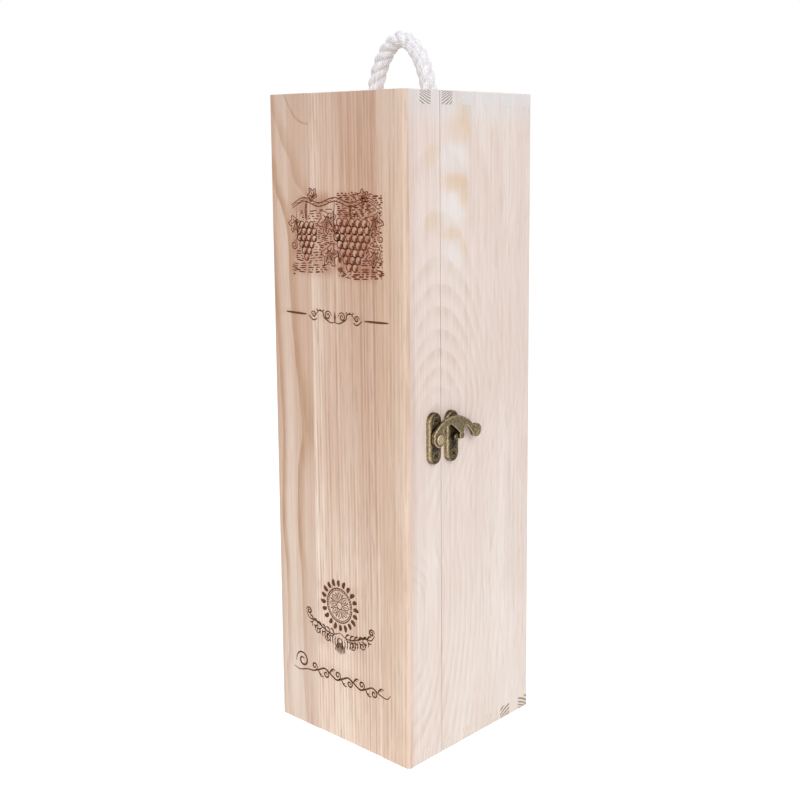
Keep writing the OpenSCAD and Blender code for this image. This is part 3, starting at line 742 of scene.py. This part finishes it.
def leaf(u, z, size, turn):
    # a vine leaf: five lobes with a toothed rim, veins, and hatching on its shaded side
    lobes = [(0, 1.0), (58, 0.86), (-58, 0.86), (118, 0.6), (-118, 0.6)]

    def rim(angle):
        total = 0.44
        for middle, long in lobes:
            off = (angle - middle + 180) % 360 - 180
            total += 0.56 * long * exp(-(off / 21) ** 2)
        return size * total * (1 + 0.05 * sin(radians(angle * 22)))

    def at(angle, radius):
        return polar(u, z, radius, radians(angle + turn))

    stroke([at(a, rim(a)) for a in range(-166, 167, 4)], 0.5, 0.6, smooth=False)
    stroke([at(166, rim(166)), at(180, 0.3 * size), at(-166, rim(-166))], 0.45, 0.6)
    for angle, long in lobes:
        stroke([at(180, 0.25 * size), at(angle, 0.35 * size * long), at(angle, 0.84 * size * long)], 0.5, 0.2)
    for k in np.arange(-size, size, 0.85):
        run = []
        for s in [*np.arange(-size, size, 0.5), None]:
            dark = False
            if s is not None:
                du, dz = 0.64 * s - 0.77 * k, -0.77 * s - 0.64 * k
                angle = degrees(atan2(dz, du)) - turn
                inside = hypot(du, dz) < 0.9 * rim((angle + 180) % 360 - 180)
                dark = inside and du - 0.8 * dz > -0.15 * size + 0.25 * size * sin(7 * k)
            if dark:
                run.append((u + du, z + dz))
                continue
            if len(run) > 2:
                stroke([run[0], run[-1]], 0.44, 0.4, smooth=False)
            run = []
    covered.append((u, z, 0.6 * size))
    covered.extend((*at(angle, 0.62 * size * long), 0.34 * size) for angle, long in lobes)


def bunch(u, z, rows, size):
    # grapes in packed rows, each with crescents of shade
    for row, count in enumerate(rows):
        for k in range(count):
            gu = u + (k - (count - 1) / 2) * 2 * size + chance.uniform(-0.25, 0.25)
            gz = z - row * 1.72 * size + chance.uniform(-0.2, 0.2)
            covered.append((gu, gz, size * 1.25))
            arc(gu, gz, size * 0.96, 0, 350, 0.5, 0.8)
            for share, span in ((0.72, 70), (0.46, 60), (0.2, 50)):
                arc(gu, gz, size * share, -38 - span, -38 + span, 0.46, 0.4)


def branch(points, width):
    # a woody cane: two edges and short bark ticks between them
    line = smoothLine([(u, z, 0) for u, z in points], 8)
    for side in (-0.5, 0.5):
        edge = []
        for i, p in enumerate(line):
            way = line[min(i + 1, len(line) - 1)] - line[max(i - 1, 0)]
            way = way / max(np.linalg.norm(way), 1e-6)
            edge.append((p[0] - way[1] * width * side, p[1] + way[0] * width * side))
        stroke(edge, 0.5, 0.5, smooth=False)
    for i in range(1, len(line) - 1):
        covered.append((line[i][0], line[i][1], 0.8 * width))
        u, z = line[i][0], line[i][1] + chance.uniform(-0.35, 0.35) * width
        stroke([(u - 0.8, z - 0.2), (u + 0.7, z + 0.15)], 0.36, 0.5, smooth=False)


def hatch(field, step, width, wave):
    # broken lines over a field of (u, lowest z, highest z), ragged at its rim, kept off what is drawn already
    places, lows, highs = zip(*field)
    for row in range(int((max(highs) - min(lows)) / step)):
        u, run, left = places[0] + chance.uniform(0, 2), [], 0.0
        ragged = chance.uniform(-1.2, 1.2)
        while u < places[-1] + ragged:
            z = min(lows) + row * step + wave * sin(0.16 * u + 0.3 * row) + chance.uniform(-0.1, 0.1)
            floor, roof = np.interp(u, places, lows), np.interp(u, places, highs)
            clear = all(hypot(u - a, z - b) > r for a, b, r in covered)
            if left > 0 and clear and floor + ragged < z < roof + ragged:
                run.append((u, z))
            elif run:
                stroke(run, width * chance.uniform(0.6, 1.25), 0.35, smooth=False)
                run = []
            left -= 0.6
            if left < -chance.uniform(0.3, 1.2):
                left = chance.uniform(1.2, 6.0)
            u += 0.6
        if run:
            stroke(run, width, 0.35, smooth=False)


def hatchUp(u, low, high):
    # one upright broken line, kept off whatever is drawn already
    run = []
    for z in np.arange(low, high, 0.6):
        at = u + 0.5 * sin(0.5 * z)
        if all(hypot(at - a, z - b) > r for a, b, r in covered) and chance.random() < 0.9:
            run.append((at, z))
        elif run:
            stroke(run, chance.uniform(0.4, 0.7), 0.35, smooth=False)
            run = []
    stroke(run or [(u, low)], 0.5, 0.35, smooth=False)


def drawVine():
    # upper ornament: a fruiting vine before a hatched hedge and turned soil
    branch([(17, 291), (27, 295), (38, 292.5), (50, 295.5), (62, 293), (74, 296), (84, 291)], 1.9)
    branch([(62, 293), (61.5, 289), (62.5, 286)], 1.2)
    branch([(29, 294.5), (28, 289), (28.5, 284)], 1.0)
    bunch(62.5, 284, [5, 6, 6, 5, 4, 3, 2], 2.25)
    bunch(28.5, 281.5, [3, 4, 4, 3, 2, 1], 1.95)
    for u, z, size, turn in ((44.5, 285, 8.6, -100), (79, 285.5, 7.0, -70), (19.5, 282.5, 5.6, -115),
                             (45.5, 267.5, 7.6, -60), (78.5, 268.5, 6.6, -95), (70.5, 297, 4.6, 35),
                             (33.5, 297, 4.4, 120)):
        leaf(u, z, size, turn)
    for u, z, size, turns in ((52, 276.5, 3.4, 1.9), (18.5, 270.5, 2.8, -1.8), (83.0, 276.5, 2.2, 1.7)):
        spiral(u, z, size, 0.6, 90, turns, 0.5)
        covered.append((u, z, size + 0.8))
    stroke([(50.3, 279.4), (49.2, 285), (50.2, 294)], 0.5)
    stroke([(19.9, 272.9), (21.5, 277), (20.5, 289)], 0.45)
    hatch([(50, 263, 298), (60, 262, 300), (68, 262, 301), (84, 261, 299)], 0.98, 0.74, 0.5)
    hatch([(18, 262, 274), (24, 262, 289), (38, 263, 292), (50, 263, 291)], 1.25, 0.56, 0.8)
    for u in np.arange(52, 83, 1.9):  # upright shoots of the hedge
        if chance.random() < 0.8:
            low = chance.uniform(263, 272)
            hatchUp(u, low, low + chance.uniform(9, 24))
    hatch([(15, 255, 263), (40, 256, 263), (48, 262, 263)], 1.05, 0.62, 0.6)
    hatch([(50, 258, 260), (58, 254.5, 262), (72, 254, 261), (85, 257, 261)], 1.0, 0.68, 0.7)


def drawRule():
    # middle ornament: two rules with scrolls between them
    u, z = engraving["middle"], engraving["rule"]
    stroke([(11, z + 0.1), (19, z), (27, z)], 0.95, 0.5)
    stroke([(71, z), (80, z + 0.2), (88, z + 0.5)], 0.95, 0.5)
    for side in (-1, 1):
        spiral(u + side * 5.4, z + 0.6, 2.9, 0.5, 90 + side * 95, -side * 1.6, 0.66)
        sprig(u, z, side, [(0, -2.3), (3, -3.0), (8.1, -0.6), (9.2, 2.2), (12.4, 2.6), (14.6, 0.2)], 0.64)
        spiral(u + side * 16.3, z + 0.4, 2.0, 0.4, 90 - side * 90, side * 1.4, 0.65)
        sprig(u, z, side, [(13.5, -1.6), (16.6, -2.6), (20.3, -0.2)], 0.6)
        for k in range(3):
            sprig(u, z, side, [(8.3 + 2.4 * k, 2.6), (9.2 + 2.4 * k, 3.6)], 0.75, 0.3)
    stroke([(u, z - 3.4), (u, z + 3.4)], 1.0, 0.1)


def drawMedallion():
    # lower ornament: a rosette in two rings with petals, on a spray of scrolls
    u, z, reach = engraving["medallion"]
    for radius, width in ((9.6, 0.5), (8.5, 0.3), (2.1, 0.42)):
        arc(u, z, radius, 0, 356, width, 0.9)

    def ray(width, thin, *ends):
        stroke([polar(u, z, radius, angle) for radius, angle in ends], width, thin)

    for k in range(20):
        t = 2 * pi * k / 20
        ray(1.9, 0.15, (10.7, t), (12.6, t + 0.05), (reach - 0.5 * (k % 2), t))
    for k in range(8):
        t = 2 * pi * k / 8
        for side in (-1, 1):
            ray(0.42, 0.35, (2.3, t), (5.2, t + side * 0.3), (7.7, t))
        ray(0.4, 0.3, (3.4, t), (6.4, t))
        t += pi / 8
        ray(0.75, 0.2, (5.6, t), (7.6, t))
    for k in range(40):
        t = 2 * pi * k / 40
        ray(0.4, 0.6, (8.6, t), (9.5, t))
    for side in (-1, 1):
        sprig(u, z, side, [(0, -15.6), (6, -17.6), (13, -16.0), (18.5, -13.6), (24, -13.2), (26.6, -9.8)],
              0.7)
        spiral(u + side * 24.4, z - 9.0, 2.3, 0.4, 90 - side * 90, side * 1.5, 0.9)
        spiral(u + side * 9.6, z - 20.4, 3.0, 0.5, 90 - side * 5, side * -1.7, 0.55)
        spiral(u + side * 17.4, z - 18.4, 2.6, 0.5, 90 + side * 30, side * -1.6, 0.5)
        for k in range(6):
            at, low = u + side * (4.2 + 3.3 * k), z - 17.4 + 0.14 * k * k
            sprig(at, low, side, [(0, 0), (1.5, 2.2), (3.4, 2.7)], 0.85, 0.15)
            sprig(at, low, side, [(0, 0), (1.9, -1.4), (3.6, -1.3)], 0.6, 0.15)
        for k in range(11):  # hanging fringe, shorter towards the ends
            at, long = u + side * (1.5 + 2.0 * k), 5.6 - 0.42 * k
            for shift in (0.0, 0.9):
                low = z - 18.2 + 0.03 * k * k - shift
                sprig(at, low, side, [(0, 0), (0.5, -0.5 * long), (-0.2, -long)], 0.4, 0.3)
    for k in range(-3, 4):
        sprig(u, z, 1, [(0.5 * k, -21.0), (1.1 * k, -24.5), (1.2 * k, 0.55 * abs(k) - 28)], 0.62, 0.2)
    arc(u, z - 20.2, 1.5, 0, 350, 0.45, 0.9)


def drawFlourish():
    # bottom ornament: a running scroll with pen-like thick and thin
    z = engraving["flourish"]
    spiral(18.5, z + 2.0, 5.6, 0.9, 200, -1.5, 0.95)
    line = [(11, z - 3.5), (16, z - 4.3), (22, z - 2.5)]
    for k in range(6):
        u = 27 + 9.3 * k
        flip = 1 if k % 2 else -1
        line += [(u, z + 1.9 * flip), (u + 4.6, z + 0.1 * flip)]
        spiral(u + 1.2, z - 1.1 * flip, 2.5, 0.45, 90 * flip, -flip * 1.45, 0.8)
        stroke([(u + 3.8, z + 0.6 * flip), (u + 6.2, z + 3.2 * flip), (u + 8.6, z + 3.3 * flip)], 0.7, 0.15)
        stroke([(u + 4.2, z + 0.3 * flip), (u + 5.3, z + 2.2 * flip), (u + 7.2, z + 2.0 * flip)], 0.5, 0.2)
    line += [(84, z - 1.0), (87, z + 1.6)]
    stroke(line, 0.85, 0.3)


def burntPine():
    # pine charred by a hot point: red-brown where lightly drawn, near black-brown where deep, dead matt
    material, add = newMaterial("scorchedPine")
    place = add("TexCoord", out="Object")
    height = add("SeparateXYZ", [place], out=2)
    deep = add("MapRange", [height, *engraving["deepens"], 0.0, 1.0])
    patchy = add("TexNoise", {"Vector": place, "Scale": 700.0, "Detail": 3.0})    # 1.4 mm patches
    patchy = add("MapRange", [patchy, 0.3, 0.7])
    light, dark = (add("Mix", {0: patchy, 6: engraving[key][0], 7: engraving[key][1]}, **colourMix)
                   for key in ("light", "dark"))
    colour = add("Mix", {0: deep, 6: light, 7: dark}, **colourMix)
    bump = add("Bump", {"Height": patchy, "Strength": 0.4, "Distance": 0.0001})
    shader = add("BsdfPrincipled", {
        "Base Color": colour, "Roughness": 0.9, "IOR": 1.46, "Specular IOR Level": 0.2, "Normal": bump})
    add("OutputMaterial", [shader], out=None)
    return material


def strokeTree():
    # a round tip drawn along each line and pressed flat into the face, where it stands only a hair proud
    tree, add, given = newTree("drawStrokes", [
        ("Plane", "Float"), ("Flatness", "Float"), ("Proud", "Float"), ("Sides", "Int")])
    line = add("GeometryNodeMeshToCurve", [given["Geometry"]])
    reach = add("GeometryNodeInputNamedAttribute", {"Name": "reach"}, data_type="FLOAT")
    ring = add("GeometryNodeCurvePrimitiveCircle", {"Resolution": given["Sides"], "Radius": 1.0})
    body = add("GeometryNodeCurveToMesh",
               {"Curve": line, "Profile Curve": ring, "Scale": reach, "Fill Caps": True})
    x, y, z = add("SeparateXYZ", [add("GeometryNodeInputPosition")], out=None).outputs
    off = add("Math SUBTRACT", [y, given["Plane"]])
    off = add("Math MULTIPLY", [off, given["Flatness"]])
    off = add("Math ADD", [off, given["Plane"]])
    least = add("Math SUBTRACT", [given["Plane"], given["Proud"]])
    moved = add("CombineXYZ", [x, add("Math MAXIMUM", [off, least]), z])
    endTree(add, add("GeometryNodeSetPosition", {"Geometry": body, "Position": moved}), given["Material"])
    return tree


def makeEngraving():
    drawVine()
    drawRule()
    drawMedallion()
    drawFlourish()
    lines, widths, half = [], [], caseSize[0] / 2 / mm
    for points, reach in strokes:
        lines.append([((u - half) * mm, boards["plane"], z * mm) for u, z in points])
        widths.append([r * mm for r in reach])
    obj = runTree(lineMesh("engraving", lines, widths), strokeTree(), {
        "Plane": boards["plane"], "Flatness": engraving["flatness"], "Proud": engraving["proud"] * mm,
        "Sides": engraving["sides"], "Material": burntPine()})
    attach(obj, "lid")
    return len(lines)


print("engraving drawn with", makeEngraving(), "strokes")
for name, (obj, node, body, slot) in boardObjects.items():
    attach(obj, body)
    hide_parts(node)


castings = {
    # name, node, body, voxel in mm, rounds of smoothing, crown taken off towards the rim in mm, rubbed share
    "pieces": [
        ("hookPlate", "hook_plate", "lid", 0.2, 3, 0.45, 0.2),
        ("catchPlate", "catch_plate", "box", 0.2, 3, 0.45, 0.2),
        ("hook", "hook", "hook", 0.18, 4, 0.0, 0.46),
        ("hookRivet", "hook_rivet", "lid", 0.16, 2, 0.0, 0.62),
        ("upperHingeBoxLeaf", "upper_hinge_box_leaf", "box", 0.18, 2, 0.0, 0.38),
        ("upperHingeLidLeaf", "upper_hinge_lid_leaf", "lid", 0.18, 2, 0.0, 0.38),
        ("lowerHingeBoxLeaf", "lower_hinge_box_leaf", "box", 0.18, 2, 0.0, 0.38),
        ("lowerHingeLidLeaf", "lower_hinge_lid_leaf", "lid", 0.18, 2, 0.0, 0.38),
        ("upperHingePin", "upper_hinge_pin", "box", 0.15, 1, 0.0, 0.4),
        ("lowerHingePin", "lower_hinge_pin", "box", 0.15, 1, 0.0, 0.4),
    ],
    "plateHalf": 4.6, "plateFloor": 51.4, "plateMiddle": {"hook_plate": -31.0, "catch_plate": -17.5},
    "plateRoof": 53.0,    # how far out the crown reaches its full depth
    "rimRub": 0.5,        # how much more the plates' rims are rubbed than their faces
    "rubGain": 4.0, "melt": 0.5,
    "shades": [(0.15, "#271D17"), (0.42, "#655843"), (0.62, "#8E8064"), (0.95, "#D6C6A6")],
}
screws = {
    "pieces": [
        ("hingeBoxScrews", "hinge_box_screws", "box"), ("hingeLidScrews", "hinge_lid_screws", "lid"),
        ("hookPlateScrews", "hook_plate_screws", "lid"), ("catchPlateScrews", "catch_plate_screws", "box"),
    ],
    "rings": 18, "sides": 48,
    "dome": 0.1, "slot": 0.15, "slotReach": 0.6, "slotDepth": 0.34,    # shares of the head's radius
    "shank": [(-0.04, 1.0), (-0.52, 0.5), (-1.2, 0.48)], "tip": -1.3,  # (place along it, radius)
    "play": 0.01,         # how much smaller a head is than its hole
    "sunk": 1.02,         # how many times its dome's height the screw is set back
    "rub": 0.24, "rubGain": 1.6,
    "seed": 5,
}


def antiqueBronze():
    # zinc casting plated in bronze and aged: dark brown in the hollows, rubbed to brass on the edges, satin
    material, add = newMaterial("antiquedBronzePlating")
    place = add("TexCoord", out="Object")
    rub = add("Attribute", out="Fac", attribute_name="rub")
    mottle = add("TexNoise", {"Vector": place, "Scale": 900.0, "Detail": 4.0})    # 1 mm clouds
    grit = add("TexNoise", {"Vector": place, "Scale": 4200.0, "Detail": 2.0})    # 0.25 mm cast grain
    share = add("Math MULTIPLY_ADD", [mottle, 0.7, -0.35])
    share = add("Math ADD", [share, rub])
    ramp = add("ValToRGB", [share], out=None)
    fillRamp(ramp, castings["shades"])
    rough = add("MapRange", [share, 0.2, 0.9, 0.52, 0.3])
    height = add("Math ADD", [mottle, grit])
    bump = add("Bump", {"Height": height, "Strength": 0.25, "Distance": 0.00012})
    shader = add("BsdfPrincipled", {
        "Base Color": ramp.outputs[0], "Metallic": 1.0, "Roughness": rough, "Normal": bump})
    add("OutputMaterial", [shader], out=None)
    return material


def addRub(mesh, level, gain):
    # how much each point is rubbed: level on the flat, less in hollows and more where it stands out
    count = len(mesh.vertices)
    place, normal = np.zeros(count * 3), np.zeros(count * 3)
    mesh.vertices.foreach_get("co", place)
    mesh.vertices.foreach_get("normal", normal)
    place, normal = place.reshape(-1, 3), normal.reshape(-1, 3)
    pairs = np.zeros(len(mesh.edges) * 2, int)
    mesh.edges.foreach_get("vertices", pairs)
    pairs = pairs.reshape(-1, 2)
    degree = np.maximum(np.bincount(pairs.ravel(), minlength=count), 1)

    def spread(values):
        total = np.zeros_like(values)
        np.add.at(total, pairs[:, 0], values[pairs[:, 1]])
        np.add.at(total, pairs[:, 1], values[pairs[:, 0]])
        return total / (degree if values.ndim == 1 else degree[:, None])

    out = ((place - spread(place)) * normal).sum(1)
    size = np.median(np.linalg.norm(place[pairs[:, 0]] - place[pairs[:, 1]], axis=1))
    out = out / size
    for step in range(4):
        out = 0.5 * out + 0.5 * spread(out)
    rub = np.clip(level + gain * out, 0, 1)
    mesh.attributes.new("rub", "FLOAT", "POINT").data.foreach_set("value", rub.astype(np.float32))


def makeCasting(name, node, voxel, smoothing, crown, rubbed):
    obj = newObject(name, endWork(mergedCopy(node), name))
    remesh = obj.modifiers.new("cast", "REMESH")
    remesh.mode, remesh.voxel_size, remesh.use_smooth_shade = "VOXEL", voxel * mm, True
    melt = obj.modifiers.new("melt", "SMOOTH")
    melt.factor, melt.iterations = castings["melt"], smoothing
    settle(obj)
    level = np.full(len(obj.data.vertices), rubbed)
    if crown:
        half, floor, roof = (castings[key] * mm for key in ("plateHalf", "plateFloor", "plateRoof"))
        middle = castings["plateMiddle"][node] * mm
        for i, vertex in enumerate(obj.data.vertices):
            off = min(1.0, abs(vertex.co.y - middle) / half)
            level[i] += castings["rimRub"] * off ** 3
            if vertex.co.x > floor:
                lift = (vertex.co.x - floor) / (roof - floor)
                vertex.co.x -= crown * mm * off ** 2 * min(1.0, lift)
    addRub(obj.data, level, castings["rubGain"])
    return obj


def screwShape():
    # countersunk cross-head screw of radius 1, its axis along +X, with its shank
    rings, sides = screws["rings"], screws["sides"]
    points, faces = [(screws["dome"] - screws["slotDepth"], 0, 0)], []
    turns = [2 * pi * k / sides for k in range(sides)]
    for i in range(1, rings + 1):
        r = i / rings
        for t in turns:
            y, z = r * cos(t), r * sin(t)
            arm = min(abs(y), abs(z))
            across = min(max((screws["slot"] - arm) / 0.05 + 0.5, 0), 1)
            along = min(max((screws["slotReach"] - r) / 0.08 + 0.5, 0), 1)
            cut = screws["slotDepth"] * across * along * (1 - 0.4 * r)
            points.append((screws["dome"] * (1 - r * r) - cut, y, z))
    for x, r in screws["shank"]:
        points += [(x, r * cos(t), r * sin(t)) for t in turns]
    points.append((screws["tip"], 0, 0))
    loops = rings + len(screws["shank"])
    last = 1 + (loops - 1) * sides
    for k in range(sides):
        n = (k + 1) % sides
        faces.append((0, 1 + k, 1 + n))
        for low in range(1, last, sides):
            faces.append((low + k, low + sides + k, low + sides + n, low + n))
        faces.append((last + k, len(points) - 1, last + n))
    mesh = bpy.data.meshes.new("screwShape")
    mesh.from_pydata(points, [], faces)
    work = bmesh.new()
    work.from_mesh(mesh)
    bmesh.ops.recalc_face_normals(work, faces=work.faces)
    work.to_mesh(mesh)
    work.free()
    mesh.shade_smooth()
    mesh.set_sharp_from_angle(angle=radians(50))
    addRub(mesh, screws["rub"], screws["rubGain"])
    return newObject("screwShape", mesh)


def screwTree():
    # one screw on each point, facing as the point says and turned by chance
    tree, add, given = newTree("driveScrews", [("Screw", "Object"), ("Seed", "Int")])
    spots = add("GeometryNodeMeshToPoints", [given["Geometry"]])
    shape = add("GeometryNodeObjectInfo", {"Object": given["Screw"]}, out="Geometry")
    size, flip = (add("GeometryNodeInputNamedAttribute", {"Name": label}, data_type="FLOAT")
                  for label in ("headRadius", "flip"))
    turn = add("FunctionNodeRandomValue", {2: 0.0, 3: 3.14, "Seed": given["Seed"]}, out=1, data_type="FLOAT")
    angles = add("CombineXYZ", {0: turn, 2: flip})
    placed = add("GeometryNodeInstanceOnPoints",
                 {"Points": spots, "Instance": shape, "Rotation": angles, "Scale": size})
    endTree(add, placed, given["Material"])
    return tree


def islands(node):
    # the separate solids of a CAD node, as (lowest, highest) corners
    work = mergedCopy(node)
    left, found = set(work.verts), []
    while left:
        queue, group = [left.pop()], []
        while queue:
            vertex = queue.pop()
            group.append(vertex.co.copy())
            for edge in vertex.link_edges:
                other = edge.other_vert(vertex)
                if other in left:
                    left.remove(other)
                    queue.append(other)
        found.append((Vector(map(min, *group)), Vector(map(max, *group))))
    work.free()
    return sorted(found, key=lambda pair: tuple(round(x, 6) for x in pair[0]))


def makeHardware():
    bronze = antiqueBronze()
    for name, node, body, *cast in castings["pieces"]:
        obj = makeCasting(name, node, *cast)
        obj.data.materials.append(bronze)
        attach(obj, body)
        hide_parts(node)
    shape, tree = screwShape(), screwTree()
    for i, (name, node, body) in enumerate(screws["pieces"]):
        spots, sizes, flips = [], [], []
        for low, high in islands(node):
            middle, out = (low + high) / 2, 1 if low.x > 0 else -1
            radius = (high.z - low.z) / 2
            tip = high.x if out > 0 else low.x
            spots.append((tip - out * screws["dome"] * radius * screws["sunk"], middle.y, middle.z))
            sizes.append(radius * (1 - screws["play"]))
            flips.append(0.0 if out > 0 else pi)
        mesh = bpy.data.meshes.new(name)
        mesh.from_pydata(spots, [], [])
        for label, values in (("headRadius", sizes), ("flip", flips)):
            mesh.attributes.new(label, "FLOAT", "POINT").data.foreach_set("value", values)
        given = {"Screw": shape, "Seed": screws["seed"] + i, "Material": bronze}
        obj = runTree(newObject(name, mesh), tree, given)
        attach(obj, body)
        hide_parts(node)
    bpy.data.objects.remove(shape)


makeHardware()
print("hinges, latch and screws cast")


studio = {
    "floorSize": 6.0,
    "floor": "#E6E6E6",
    "floorGlow": 0.62,
    "ambient": 0.56,
    "lamps": [  # name, place, aim, size, watts
        ("keyLamp", (1.3, -0.5, 1.0), (0.0, 0.0, 0.15), 1.1, 11.0),
        ("fillLamp", (-0.7, -1.5, 0.8), (0.0, 0.0, 0.15), 1.2, 7.0),
        ("topLamp", (0.1, 0.1, 1.6), (0.0, 0.0, 0.2), 1.0, 3.0),
    ],
    "spots": [  # name, place, aim, cone in degrees, softness, watts
        ("footSpot", (0.8, -0.85, 0.25), (0.0, 0.0, -0.03), 26, 0.2, 6.0),
    ],
}


def seenDirectly(add):
    # 1 where the camera sees it, also in metal and through glass, and 0 where it only lights the box
    rays = add("LightPath", out=None).outputs
    direct = add("Math MAXIMUM", [rays["Is Camera Ray"], rays["Is Glossy Ray"]])
    return add("Math MAXIMUM", [direct, rays["Is Transmission Ray"]])


def makeStudio():
    half = studio["floorSize"] / 2
    mesh = bpy.data.meshes.new("floor")
    corners = [(-half, -half, 0), (half, -half, 0), (half, half, 0), (-half, half, 0)]
    mesh.from_pydata(corners, [], [(0, 1, 2, 3)])
    floor = newObject("floor", mesh)
    material, add = newMaterial("paleStudioPaper")
    paper = add("BsdfDiffuse", {"Color": studio["floor"]})
    glow = add("Emission", {"Color": "#FFFFFF", "Strength": studio["floorGlow"]})
    both = add("AddShader", [paper, glow])
    mixed = add("MixShader", [seenDirectly(add), paper, both])
    add("OutputMaterial", [mixed], out=None)
    mesh.materials.append(material)

    world = bpy.data.worlds.new("studioWorld")
    bpy.context.scene.world = world
    world.use_nodes = True
    world.node_tree.nodes.clear()
    add = partial(addNode, world.node_tree)
    plain, white = (add("Background", ["#FFFFFF", strength]) for strength in (studio["ambient"], 1.0))
    mixed = add("MixShader", [seenDirectly(add), plain, white])
    add("OutputWorld", [mixed], out=None)

    lamps = []
    for name, place, aim, size, watts in studio["lamps"]:
        data = bpy.data.lights.new(name, "AREA")
        data.shape, data.size, data.energy = "DISK", size, watts
        lamps.append((data, place, aim))
    for name, place, aim, cone, soft, watts in studio["spots"]:
        data = bpy.data.lights.new(name, "SPOT")
        data.spot_size, data.spot_blend, data.shadow_soft_size, data.energy = radians(cone), 1.0, soft, watts
        lamps.append((data, place, aim))
    for data, place, aim in lamps:
        lamp = newObject(data.name, data)
        lamp.location = place
        lamp.rotation_euler = (Vector(aim) - Vector(place)).to_track_quat("-Z", "Y").to_euler()


makeStudio()
bpy.context.scene.view_settings.view_transform = "Standard"
print("studio lit")
